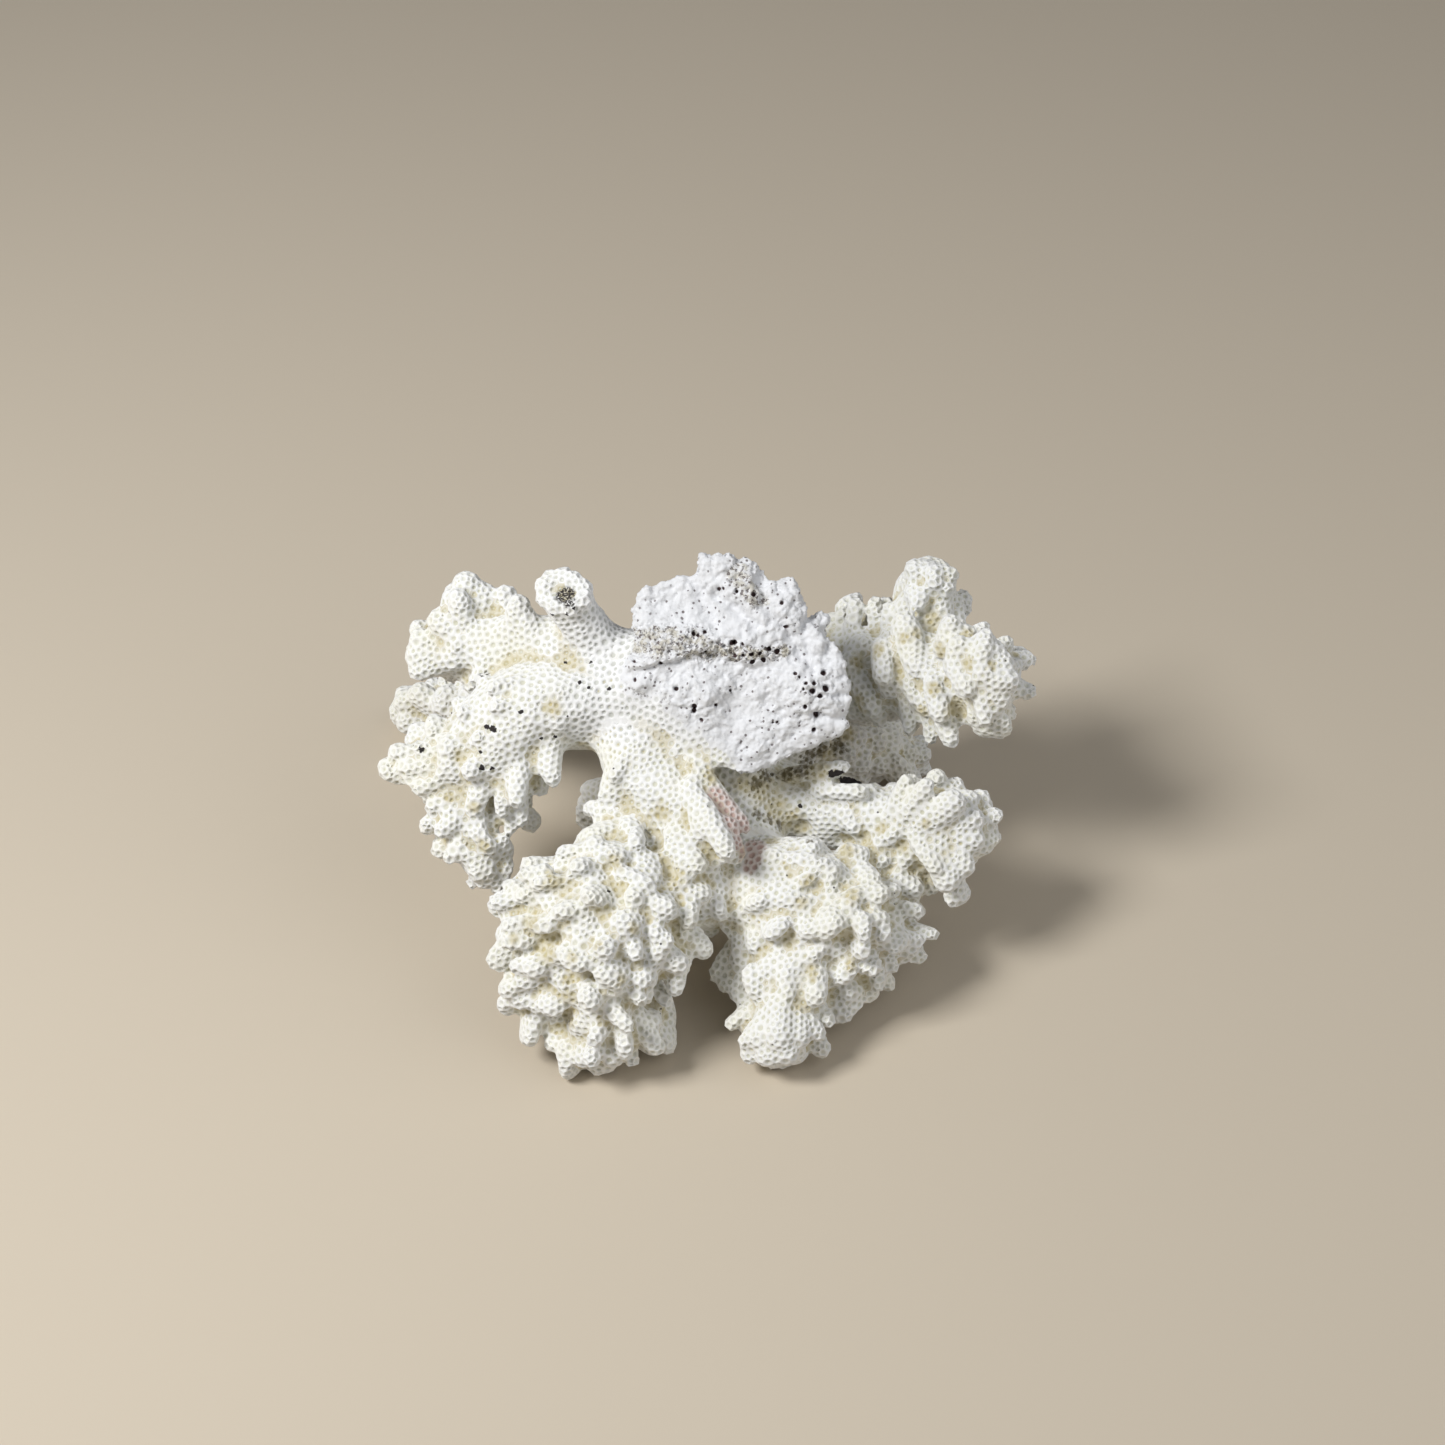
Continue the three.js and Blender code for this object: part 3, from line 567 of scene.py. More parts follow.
def fingered_skin(sizes):
    """The swollen nodes with their fingers and the holdfast's rim lumps, as one skin."""
    rng = np.random.default_rng(sizes.seed)
    mesh = remeshed(swollen_nodes(SWELL), COARSE_GRAIN)
    triangles = triangles_of(mesh)
    neighbours = neighbours_of(triangles, len(mesh.vertices))
    places = smoothed(corner_places(mesh), neighbours, 4)
    normals = normals_of(places, triangles)
    reach = distances_to(node_trees()[HOLDFAST], places)
    table = np.array([FINGERED[name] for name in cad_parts])
    start, stop, share = table[nearest_nodes(places)].T
    full = smoothed(smoothstep(start, stop, reach), neighbours, 3)
    placed = seen_fingers(places, normals)
    pockets = seen_spots(places, POCKETS)
    uneven = smoothstep(0, 0.5, fractal(places, GROUND_SIZE, 2, 4))
    sunk = full * share * (0.5 + 0.9 * uneven)
    for middle, (_, _, radius, depth) in zip(pockets, POCKETS):
        sunk += depth * np.exp(-(np.linalg.norm(places - middle, axis=1) / radius) ** 2)
    places -= normals * sunk[:, None]
    mesh.vertices.foreach_set("co", places.ravel())
    picked = free_roots(places, full, placed, pockets, sizes, rng)
    free = free_fingers(places[picked], normals[picked], full[picked], share[picked], sizes, rng)
    shown = finger_cloud(*placed[:4], np.ones(len(placed[0])), placed[4])
    rim = rim_lumps(RIM_LUMPS, (0, 0, RIM_DEPTH), (0, 0, 1), rng)
    stub = rim_lumps(STUB_LUMPS, STUB_END, STUB_FACING, rng)
    return remeshed(joined(mesh, free, shown, rim, stub), sizes.skin_voxel / MM)


def lumpy(mesh):
    """Softens the skin and gives it small swells, then sets it on the surface it lies on."""
    places, triangles = largest_island(corner_places(mesh), triangles_of(mesh))
    neighbours = neighbours_of(triangles, len(places))
    places = smoothed(places, neighbours, 2)
    normals = normals_of(places, triangles)
    places += normals * (fractal(places, SWELL_SIZE, 2, 1) * SWELL_HEIGHT)[:, None]
    sink = FOOT_SINK * smoothstep(FOOT_HEIGHT, 0, places[:, 2])
    places[:, 2] = np.maximum(places[:, 2] - sink, 0)
    return places, triangles, neighbours


# The cells: one for each pit. Seeds are spread over the skin and evened out, each vertex of the
# skin goes to the seed that is nearest along the skin, and the borders make the polygons.

def nearest_seed(places, neighbours, seeds):
    """For each vertex, the number of the seed that is nearest along the skin's edges."""
    steps = np.linalg.norm(places[neighbours] - places[:, None], axis=2)
    distance = np.full(len(places), np.inf)
    label = np.full(len(places), -1)
    distance[seeds] = 0
    label[seeds] = np.arange(len(seeds))
    rows = np.arange(len(places))
    while True:
        through = distance[neighbours] + steps
        best = through.argmin(axis=1)
        shorter = through[rows, best] < distance - 1e-9
        if not shorter.any():
            return label
        distance[shorter] = through[rows, best][shorter]
        label[shorter] = label[neighbours[rows, best]][shorter]


def evened_seeds(places, neighbours, seeds, times):
    """Moves each seed to the middle of its own patch of the skin."""
    for _ in range(times):
        label = nearest_seed(places, neighbours, seeds)
        size = np.bincount(label, minlength=len(seeds))[:, None]
        middle = np.stack([np.bincount(label, places[:, k], len(seeds)) for k in range(3)], 1) / size
        off = np.linalg.norm(places - middle[label], axis=1)
        order = np.lexsort((off, label))
        first = np.searchsorted(label[order], np.arange(len(seeds)))
        seeds = order[first]
    return seeds


def cell_polygons(places, triangles, label):
    """The cells' corners, the three cells that meet at each, and each cell's corners in order."""
    count = len(triangles)
    ends = np.sort(np.stack([triangles, triangles[:, [1, 2, 0]]], 2).reshape(-1, 2), axis=1)
    order = np.lexsort((ends[:, 1], ends[:, 0]))
    first = np.flatnonzero((ends[order][:-1] == ends[order][1:]).all(axis=1))
    across = np.full(3 * count, -1)
    across[order[first]] = order[first + 1]
    across[order[first + 1]] = order[first]
    labels = label[triangles]
    mixed = labels != labels[:, [1, 2, 0]]
    corner = mixed.all(axis=1)
    other = np.full((count, 3), -1)
    for k in range(3):
        after, before = (k + 1) % 3, (k + 2) % 3
        other[:, k] = np.where(mixed[:, after], after, np.where(mixed[:, before], before, -1))
    starts = np.flatnonzero(np.repeat(corner, 3))
    at = across[starts]
    while True:
        going = ~corner[at // 3]
        if not going.any():
            break
        now = at[going]
        at[going] = across[3 * (now // 3) + other[now // 3, now % 3]]
    arrive = np.full(3 * count, -1)
    arrive[starts] = at
    arrive, number = arrive.tolist(), np.cumsum(corner) - 1
    owners = labels.ravel()
    seen = set()
    polygons, cells = [], []
    for start in starts.tolist():
        loop, wedge = [], start
        while wedge not in seen:
            seen.add(wedge)
            loop.append(wedge // 3)
            wedge = arrive[3 * (wedge // 3) + (wedge + 2) % 3]
        if len(loop) > 2:
            polygons.append(number[loop].tolist())
            cells.append(owners[start])
    return places[triangles[corner]].mean(axis=1), labels[corner], polygons, np.array(cells)


def relaxed(corners, meet, cells, times):
    """Evens the polygons: each corner goes to the middle of the three cells that meet there."""
    for _ in range(times):
        size = np.bincount(meet.ravel(), minlength=cells)[:, None]
        centres = np.stack([
            np.bincount(meet.ravel(), np.repeat(corners[:, k], 3), cells) for k in range(3)
        ], 1) / np.maximum(size, 1)
        corners = centres[meet].mean(axis=1)
    return corners


def settled_nodes(node, pairs):
    """Each cell's node, with ragged borders evened and stray islands given to what is round them."""
    count = node.max() + 1
    own_vote = 1.5
    for _ in range(6):
        votes = np.zeros((len(node), count))
        np.add.at(votes, (pairs[:, 0], node[pairs[:, 1]]), 1)
        votes[np.arange(len(node)), node] += own_vote
        node = votes.argmax(axis=1)
    for _ in range(2):
        rows = [[] for _ in node]
        for a, b in pairs[node[pairs[:, 0]] == node[pairs[:, 1]]].tolist():
            rows[a].append(b)
        island = islands_of(rows)
        sizes = np.bincount(island)
        main = np.zeros(len(sizes), bool)
        for one in range(count):
            main[np.bincount(island[node == one], minlength=len(sizes)).argmax()] = True
        stray = ~main[island]
        votes = np.zeros((len(node), count))
        near = pairs[stray[pairs[:, 0]] & (island[pairs[:, 0]] != island[pairs[:, 1]])]
        np.add.at(votes, (island[near[:, 0]], node[near[:, 1]]), 1)
        surrounded = votes[island].sum(axis=1) > 0
        node = np.where(stray & surrounded, votes[island].argmax(axis=1), node)
    return node


def steps_inside(inside, pairs, most):
    """How many cells each cell of a region is away from what isn't in it, up to a limit."""
    steps = np.where(inside, most, 0)
    for _ in range(most):
        least = np.full(len(steps), most)
        np.minimum.at(least, pairs[:, 0], steps[pairs[:, 1]])
        steps = np.minimum(steps, least + 1)
    return steps


# What the photograph shows where, as places u and v in the picture's plane, in millimetres

# The porous ridge, in two parts, and two porous patches: a line, its half width and its strength
POROUS = [
    ([(-13.5, 11.3), (-8, 11.4), (-4, 11.2), (-2.5, 10.6)], 2.7, 0.65),
    ([(-2.5, 10.4), (1.6, 9.8), (4.5, 9.6), (8.4, 9.8)], 1.3, 0.9),
    ([(2, 21), (3.4, 19), (5, 17.4)], 2.2, 0.6),
    ([(-16, 6.6), (-13, 4), (-8, 3)], 1.8, 0.35),
]
# The ledge's lower edge, and the smooth lip along the crust's lower right rim
LEDGE = [(-14, 6.6), (-12.1, 7.1), (-8.4, 8.3), (-2.4, 9.9), (1.5, 8.7), (4.2, 7.9), (8.6, 8.6)]
LIP = [(-8, -3.2), (-3, -4.7), (2.9, -7), (10, -3.9), (17.2, -0.6), (17.4, 4)]
# Valleys between the crust's swells: a line, its half width and its depth
VALLEYS = [
    ([(-4.6, 21.5), (-2.6, 16.5), (-1.2, 13.5)], 1.0, 0.8),
    ([(-1, 18), (2, 15.6), (4.6, 13.4)], 0.9, 0.9),
    ([(5.4, 20), (6.3, 16), (9, 12.8), (11, 9.4)], 1.0, 0.8),
    ([(11.4, 14), (12, 9.4), (12.8, 7)], 0.6, 0.5),
    ([(14.6, 13), (14.8, 9.6)], 0.6, 0.4),
    ([(15.5, 3.6), (18.5, 4)], 0.4, 0.5),
    ([(12.8, 1), (15.5, 0.4), (18, 0.8)], 0.5, 0.5),
]
# Open pores of the crust, sunk into it and painted dark inside as shade: u, v and radius
OPEN_PORES = [
    (6.5, 10.3, 0.42), (7.6, 9.9, 0.45), (5.1, 9.75, 0.36), (5.7, 8.7, 0.46), (4.1, 8.4, 0.4),
    (3.85, 9.7, 0.35), (2.85, 9.55, 0.3), (1.85, 9.4, 0.3), (1.3, 11.25, 0.4), (1.75, 11.3, 0.4),
    (2.85, 11.1, 0.28), (-4, 12.5, 0.38), (-3.4, 12.2, 0.3), (-2.5, 12.7, 0.3), (-2.4, 10, 0.28),
    (-6.65, 4.8, 0.36), (-12.15, 6, 0.28), (-11.85, 8.4, 0.25), (-8.6, 8.4, 0.28),
    (-16, 5.3, 0.3), (-15.1, 2.9, 0.32), (-13.3, 3.4, 0.28), (-4, 2.1, 0.4), (-4, 1.5, 0.4),
    (-2.9, 0.2, 0.28), (-0.8, 2.4, 0.26), (1.2, 4.5, 0.24), (12.6, 4.4, 0.5), (14.6, 4.8, 0.5),
    (13.7, 3.75, 0.4), (12.85, 5.55, 0.38), (11.7, 5.5, 0.3), (11.35, 4.7, 0.24),
    (14.2, 7, 0.45), (10.2, 6.8, 0.28), (10.7, 6.3, 0.2), (11.55, 2.2, 0.35), (13.2, 0.8, 0.5),
    (12.85, -1.2, 0.36), (4.5, 18.05, 0.4), (1.85, 18.4, 0.3), (-0.6, 18.8, 0.25),
    (0, 18.8, 0.25), (8.35, 16.8, 0.3), (9.2, 13.3, 0.35), (7, 0, 0.18), (7.6, 0, 0.2),
]
# Shallow, calm dishes: u, v, radius and depth
DISHES = [(1.8, 1.2, 3.0, 0.9), (-6, 16.6, 3.2, 0.6), (2, 16, 2.4, 0.4)]
# Where the crust begins, as bands of u on its left and of w behind it, and its lower edge's v
# along u
CRUST_LEFT = (-16.8, -13.6)
CRUST_BACK = (-8.0, -5.5)
CRUST_EDGE_U = [-18, -14.6, -9.7, -6.4, -2.2, 2.9, 20]
CRUST_EDGE_V = [-1.6, -2.6, -2.5, -4.5, -5.7, -7.6, -7.6]
# The whiter trunk beside the crust: bands of u on its left and right, of v below and of w behind
WHITE_LEFT = (-29, -17)
WHITE_RIGHT = (17, 13)
WHITE_LOW = (-4.0, -1.5)
WHITE_BACK = (-12, -6)
# Coloured marks on the bare coral: u, v and radius of each spot. Some of them are painted shade: the
# big soot spots in the crevice below the crust's right end, the tan spots under the crust's lip and the
# grime there.
MARKS = {
    "soot_and_shade": [
        (-32.6, -1.3, 0.8), (-33.2, -0.6, 0.5), (-42.2, -3.4, 0.7), (-33.3, -6.6, 0.6),
        (-32.2, -7, 0.5), (-19.8, 5.8, 0.45), (-19.1, 5.1, 0.4), (-16.1, 5.3, 0.4),
        (-28.2, 1.6, 0.5), (-22.9, -2.1, 0.35), (-25.4, -2.4, 0.3), (-22.6, 8.6, 0.35),
        # These four soot spots are painted shade in the deep crevice below the crust's right end
        (15.4, -7.9, 1), (16.4, -7.9, 1.3), (17.6, -7.8, 1.4), (18.8, -7.6, 1.2),
        (-22.1, 15.4, 0.4), (-20.4, 15.8, 0.35), (-23.9, 14.8, 0.33), (-18.8, 8.6, 0.3),
        (-15.6, -23.2, 0.45), (11, -12, 0.5), (-34.4, -4.4, 0.4),
    ],
    "stain": [(-22.3, 18, 1.6), (-21.7, 17.2, 1)],
    "blush": [
        (-0.4, -10.2, 2), (0.8, -11.6, 2.4), (2.2, -13.2, 2.6), (3.4, -14.8, 2.6), (3, -16.6, 1.9),
        (4, -17, 1.9), (3.6, -18.4, 1.6), (4.4, -18.8, 1.5), (3.6, -19.8, 1.3),
    ],
    # Tan: the pockets, and most of the spots after them, which paint the shade under the crust's lip
    "tan": [(u, v, radius * 1.15) for u, v, radius, _ in POCKETS] + [
        (6, -9.4, 2.8), (9, -8, 2.8), (12.4, -6.6, 2.4), (7.6, -12, 2.6), (10, -14, 2.2),
        (3, -8.8, 1.6), (-1.4, -7, 1.5), (-4.6, -5.8, 1.1), (15.2, -4.4, 2.2), (17.4, -1.6, 2),
        (18.6, 2, 2), (-19.6, -3.4, 1.1),
    ],
    # Grime and painted shade: brown dirt and the dark shade under the crust's lip
    "grime_and_shade": [
        (4.6, -8, 1.7), (6.6, -7.6, 1.9), (8.6, -6.8, 1.9), (10.6, -6, 1.9), (12.6, -5, 1.9),
        (14.6, -4, 1.9), (16.4, -3, 1.7), (5.4, -12.6, 1), (6.8, -13.6, 1.1), (8.4, -14.8, 1),
        (10.8, -15.4, 1.1), (12.6, -16, 0.8),
    ],
}


# The crust's relief in millimetres: heights and depths, and the sizes of its swells, chips, grain
# and torn ridge
LEDGE_HEIGHT = 1.2
CHIP_HEIGHT = 0.75
CHIPS_TO_A_SWELL = 3
SWELL_OF_CRUST = 4.2
GRAIN_SIZE = 0.75
GRAIN_HEIGHT = 0.3
RIDGE_GRAIN = 1.1
RIDGE_RISE = 0.2
RIDGE_DEPTH = 1.1
PORE_RIM = 0.3
PORE_DEPTH = 1.1


def distance_to_line(places, line):
    nearest = np.full(len(places), np.inf)
    for a, b in zip(np.array(line)[:-1], np.array(line)[1:]):
        t = np.clip((places - a) @ (b - a) / ((b - a) @ (b - a)), 0, 1)[:, None]
        nearest = np.minimum(nearest, np.linalg.norm(places - a - t * (b - a), axis=1))
    return nearest


def marked(places, spots):
    """Soft round marks, 1 in their middles; each spot is its place and its radius."""
    mask = np.zeros(len(places))
    for *middle, radius in spots:
        mask = np.maximum(mask, np.exp(-(np.linalg.norm(places - middle, axis=1) / radius) ** 2))
    return mask


def chalkiness(places):
    """How much of each place is worn, chalky crust and not pits, from 0 to 1."""
    view = to_view(places)
    u, v = seen_at(view).T
    ragged = fractal(places, 3.0, 3, 5) * 1.5
    left = smoothstep(*CRUST_LEFT, u + ragged)
    edge = np.interp(u, CRUST_EDGE_U, CRUST_EDGE_V)
    low = smoothstep(-1.0, 0.6, v - edge + ragged * 0.3)
    back = smoothstep(*CRUST_BACK, view[:, 2] + ragged * 0.5)
    return left * low * back


def whiteness(places):
    """How far the trunk beside the crust is bleached whiter than the branches."""
    view = to_view(places)
    u, v = seen_at(view).T
    beside = smoothstep(*WHITE_LEFT, u) * smoothstep(*WHITE_RIGHT, u)
    return beside * smoothstep(*WHITE_LOW, v) * smoothstep(*WHITE_BACK, view[:, 2])


def detailed(places):
    """Where the crust needs finer faces: in its porous ridge and round its open pores."""
    at = seen_at(to_view(places))
    ridge = POROUS[:2]
    porous = np.min([distance_to_line(at, line) - width for line, width, _ in ridge], axis=0)
    pores = np.min([np.linalg.norm(at - spot, axis=1) - radius for *spot, radius in OPEN_PORES], axis=0)
    return (porous < 0) | (pores < PORE_RIM)


def crust_relief(places):
    """How far the chalk stands out at each place, in millimetres, and its ridge and its pores."""
    at = seen_at(to_view(places))
    torn = fractal(places, 1.8, 3, 7)
    ridge = np.zeros(len(places))
    for line, width, strength in POROUS:
        off = distance_to_line(at, line) + torn * width * 0.45
        ridge = np.maximum(ridge, strength * smoothstep(width, width * 0.45, off))
    calm = np.zeros(len(places))
    high = np.zeros(len(places))
    for u, v, radius, depth in DISHES:
        dish = np.exp(-(np.linalg.norm(at - [u, v], axis=1) / radius) ** 2)
        high -= depth * dish
        calm = np.maximum(calm, dish)
    calm = np.maximum(calm, 0.8 * smoothstep(2.2, 0.8, distance_to_line(at, LIP)))
    for line, width, depth in VALLEYS:
        high -= depth * np.exp(-((distance_to_line(at, line) + torn * 0.3) / width) ** 2)
    u, v = at.T
    over = v - np.interp(u, *np.array(LEDGE).T) + torn * 0.35
    step = LEDGE_HEIGHT * smoothstep(-0.2, 0.45, over) * smoothstep(5.5, 1.5, over)
    high += step * smoothstep(-14.5, -12, u) * smoothstep(9, 5, u)
    rough = 1 - 0.75 * calm
    swell = fractal(places, SWELL_OF_CRUST, 3, 6) + 0.25 * fractal(places, 1.3, 2, 14)
    swell *= CHIPS_TO_A_SWELL
    chipped = (np.floor(swell) + smoothstep(0.3, 0.7, swell % 1)) / CHIPS_TO_A_SWELL
    high += rough * (CHIP_HEIGHT * chipped + 0.2 * fractal(places, 1.7, 3, 15))
    high += (0.3 + 0.7 * rough) * GRAIN_HEIGHT * fractal(places, GRAIN_SIZE, 3, 9)
    high += ridge * (RIDGE_RISE - RIDGE_DEPTH * np.abs(fractal(places, RIDGE_GRAIN, 3, 8)))
    pore = np.zeros(len(places))
    ragged = fractal(places, 0.8, 2, 10) * 0.12
    for u, v, radius in OPEN_PORES:
        off = np.linalg.norm(at - [u, v], axis=1) + ragged
        deep = smoothstep(radius * 1.25, radius * 0.6, off)
        pore = np.maximum(pore, deep)
        high -= min(2.2 * radius, PORE_DEPTH) * deep
    return high, ridge, pore


# The working mesh that the pieces are cut from

CELLS = "coral_cells"
# Cells that are at least this chalky have no pit
CHALKY = 0.9
# The least distance between the cells' seeds as a share of the pits' pitch, and how many times the
# seeds and then the cells' corners are evened
SEED_SHARE = 0.7
SEED_ROUNDS = 3
CORNER_ROUNDS = 2
# How many rounds of smoothing tell how deep each place lies between the fingers round it
HOLLOW_ROUNDS = 40
# The crust comes in over this many cells from the holdfast's forks
CRUST_CELLS = 5
# How far a place stands out, in millimetres, where a pit's walls go from broad to thin
THIN_WALLS = (0.25, 1.1)
# The rings of a pit from its wall in: its size as a share of the cell with broad and with thin
# walls, how deep it lies as a share of the pit, and how far it counts as pit
PIT_RINGS = ((0.72, 0.84, 0.08, 0.1), (0.55, 0.7, 0.8, 0.7))
PIT_DEPTH_RANGE = (0.75, 1.15)
FLOOR_DISH = 0.15


def grow_cells(sizes):
    """Keeps the whole coral as a mesh with one many-sided face for each pit, in millimetres."""
    places, triangles, neighbours = lumpy(fingered_skin(sizes))
    normals = normals_of(places, triangles)
    hollow = ((smoothed(places, neighbours, HOLLOW_ROUNDS) - places) * normals).sum(axis=1)
    rng = np.random.default_rng(sizes.seed + 1)
    seeds = spread(places, np.full(len(places), sizes.pitch / MM * SEED_SHARE), rng)
    seeds = evened_seeds(places, neighbours, seeds, SEED_ROUNDS)
    label = nearest_seed(places, neighbours, seeds)
    corners, meet, polygons, owners = cell_polygons(places, triangles, label)
    corners = relaxed(corners, meet, len(seeds), CORNER_ROUNDS)
    polygon_of = np.zeros(len(seeds), int)
    polygon_of[owners] = np.arange(len(owners))
    meet = polygon_of[meet]
    pairs = np.concatenate([meet[:, [a, b]] for a in range(3) for b in range(3) if a != b])
    tree = BVHTree.FromPolygons(places.tolist(), triangles.tolist())
    hits = [tree.find_nearest(corner) for corner in corners.tolist()]
    corners = np.array([hit[0] for hit in hits])
    hollow = hollow[triangles[[hit[2] for hit in hits]]].mean(axis=1)
    made = bpy.data.meshes.new(CELLS)
    made.from_pydata(corners.tolist(), [], polygons)
    centres = np.array([face.center for face in made.polygons])
    node = settled_nodes(nearest_nodes(centres), pairs)
    inside = node == list(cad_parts).index(HOLDFAST)
    steps = steps_inside(inside, pairs, CRUST_CELLS)
    chalky = chalkiness(centres) * smoothstep(0, CRUST_CELLS - 1, steps - 1)
    facts = {"hollow": hollow, "white": whiteness(corners)}
    made.attributes.new("node", "INT", "FACE").data.foreach_set("value", node)
    made.attributes.new("chalky", "FLOAT", "FACE").data.foreach_set("value", chalky)
    for key, values in facts.items():
        made.attributes.new(key, "FLOAT", "POINT").data.foreach_set("value", values)
    for key, spots in MARKS.items():
        radii = [spot[2] for spot in spots]
        made[key] = np.c_[seen_spots(corners, spots), radii].ravel().tolist()


def sink_ring(face, middle, normal, ratio, depth):
    """Draws a face's corners in towards its middle, rounder than they were, and sinks them."""
    arms = [vert.co - middle for vert in face.verts]
    mean = sum(arm.length for arm in arms) / len(arms)
    for vert, arm in zip(face.verts, arms):
        rounder = 0.6 * mean / max(arm.length, TINY) + 0.4
        vert.co = middle + arm * (ratio * rounder) - normal * depth


def cut_pits(shape, faces, sizes, rng):
    """Sinks a pit into each face: a broad wall round it, a steep side and a dished floor."""
    pit, chalk, hollow = (shape.verts.layers.float[key] for key in ("pit", "chalk", "hollow"))
    chalky = shape.faces.layers.float["chalky"]
    plans = []
    for face in faces:
        depression = sum(vert[hollow] for vert in face.verts) / len(face.verts)
        thin = float(smoothstep(*THIN_WALLS, -depression))
        depth = rng.uniform(*PIT_DEPTH_RANGE) * sizes.pit_depth / MM * (1 - 0.8 * face[chalky])
        plans.append((face.calc_center_median(), face.normal.copy(), thin, depth, depression))
    for ratio, thin_ratio, sink, shade in PIT_RINGS:
        bmesh.ops.inset_individual(shape, faces=faces, thickness=0)
        for face, (middle, normal, thin, depth, depression) in zip(faces, plans):
            sink_ring(face, middle, normal, ratio + (thin_ratio - ratio) * thin, depth * sink)
            for vert in face.verts:
                vert[hollow] = depression
                vert[pit] = shade
                vert[chalk] = face[chalky]
    floors = bmesh.ops.poke(shape, faces=faces)["verts"]
    for vert, (middle, normal, thin, depth, depression) in zip(floors, plans):
        vert.co -= normal * (depth * FLOOR_DISH)
        vert[pit] = 1
        vert[hollow] = depression


def weather(shape, faces, sizes):
    """Turns faces into fine, uneven chalk, with its ridge and its open pores."""
    fans = bmesh.ops.poke(shape, faces=faces)["faces"]
    edges = list({edge for face in fans for edge in face.edges})
    bmesh.ops.subdivide_edges(shape, edges=edges, cuts=2, use_grid_fill=True)
    chalk = shape.verts.layers.float["chalk"]
    verts = [vert for vert in shape.verts if vert[chalk] > CHALKY]
    fine = {vert for vert, fit in zip(verts, detailed(np.array([vert.co for vert in verts]))) if fit}
    edges = [edge for edge in shape.edges if fine.issuperset(edge.verts)]
    bmesh.ops.subdivide_edges(shape, edges=edges, cuts=1, use_grid_fill=True)
    shape.normal_update()
    verts = [vert for vert in shape.verts if vert[chalk] > CHALKY - 0.1]
    places = np.array([vert.co for vert in verts])
    high, ridge, pore = crust_relief(places)
    crust = smoothstep(CHALKY - 0.1, 1, np.array([vert[chalk] for vert in verts]))
    high *= crust * sizes.crust_relief
    layers = [shape.verts.layers.float[key] for key in ("ridge", "pore")]
    for vert, up, *values in zip(verts, high.tolist(), ridge.tolist(), pore.tolist()):
        vert.co += vert.normal * up
        for layer, value in zip(layers, values):
            vert[layer] = value


def piece_mesh(name, sizes):
    """One piece in metres: its cells with their pits and its chalk, and a cap inside each fork."""
    index = list(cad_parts).index(name)
    grown = bpy.data.meshes.get(CELLS)
    if grown is None:
        raise RuntimeError("The cells have to be grown before a piece is made")
    shape = bmesh.new()
    shape.from_mesh(grown)
    for key in ("pit", "chalk", "ridge", "pore", *MARKS):
        shape.verts.layers.float.new(key)
    node, chalky = shape.faces.layers.int["node"], shape.faces.layers.float["chalky"]
    chalk = shape.verts.layers.float["chalk"]
    bmesh.ops.delete(shape, geom=[f for f in shape.faces if f[node] != index], context="FACES")
    shape.normal_update()
    cells = list(shape.faces)
    for face in cells:
        for vert in face.verts:
            vert[chalk] += face[chalky] / len(vert.link_faces)
    pits = [face for face in cells if face[chalky] < CHALKY]
    worn = [face for face in cells if face[chalky] >= CHALKY]
    rims = [edge for edge in shape.edges if edge.is_boundary]
    for edge in rims:
        edge.smooth = False
    caps = bmesh.ops.holes_fill(shape, edges=rims, sides=0)["faces"]
    bmesh.ops.poke(shape, faces=caps)
    cut_pits(shape, pits, sizes, np.random.default_rng(sizes.seed + 10 + index))
    if worn:
        weather(shape, worn, sizes)
    places = np.array([vert.co for vert in shape.verts])
    for key in MARKS:
        layer = shape.verts.layers.float[key]
        spots = np.array(grown[key]).reshape(-1, 4)
        for vert, value in zip(shape.verts, marked(places, spots).tolist()):
            vert[layer] = value
    for vert in shape.verts:
        vert.co.z = max(vert.co.z, 0)
    for face in shape.faces:
        face.smooth = True
    bmesh.ops.scale(shape, vec=(MM,) * 3, verts=shape.verts)
    mesh = bpy.data.meshes.new(name)
    shape.to_mesh(mesh)
    shape.free()
    return mesh


def dress(name, sizes, material):
    """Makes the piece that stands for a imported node."""
    piece = bpy.data.objects.new(name + "_skin", piece_mesh(name, sizes))
    bpy.context.scene.collection.objects.link(piece)
    piece.data.materials.append(material)
    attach(piece, BODY)
    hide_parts(name)


# Finishes

def shader_node(tree, kind, inputs=None, **settings):
    """A node with its settings, and with each of its inputs set to a value or linked to a socket."""
    node = tree.nodes.new(kind)
    for key, value in settings.items():
        setattr(node, key, value)
    for key, value in (inputs or {}).items():
        if isinstance(value, bpy.types.NodeSocket):
            tree.links.new(value, node.inputs[key])
        else:
            node.inputs[key].default_value = value
    return node


def calculated(tree, operation, first, second=0.0):
    return shader_node(tree, "ShaderNodeMath", {0: first, 1: second}, operation=operation).outputs[0]


def ramped(tree, value, low, high, out_low=0.0, out_high=1.0):
    """A value eased from one range to another, and kept in it."""
    return shader_node(tree, "ShaderNodeMapRange", {
        "Value": value, "From Min": low, "From Max": high, "To Min": out_low, "To Max": out_high,
    }, interpolation_type="SMOOTHSTEP").outputs[0]


def mixed(tree, factor, first, second):
    node = shader_node(tree, "ShaderNodeMix", {0: factor}, data_type="RGBA")
    for key, value in ((6, first), (7, second)):
        if isinstance(value, bpy.types.NodeSocket):
            tree.links.new(value, node.inputs[key])
        else:
            node.inputs[key].default_value = (*value, 1)
    return node.outputs[2]


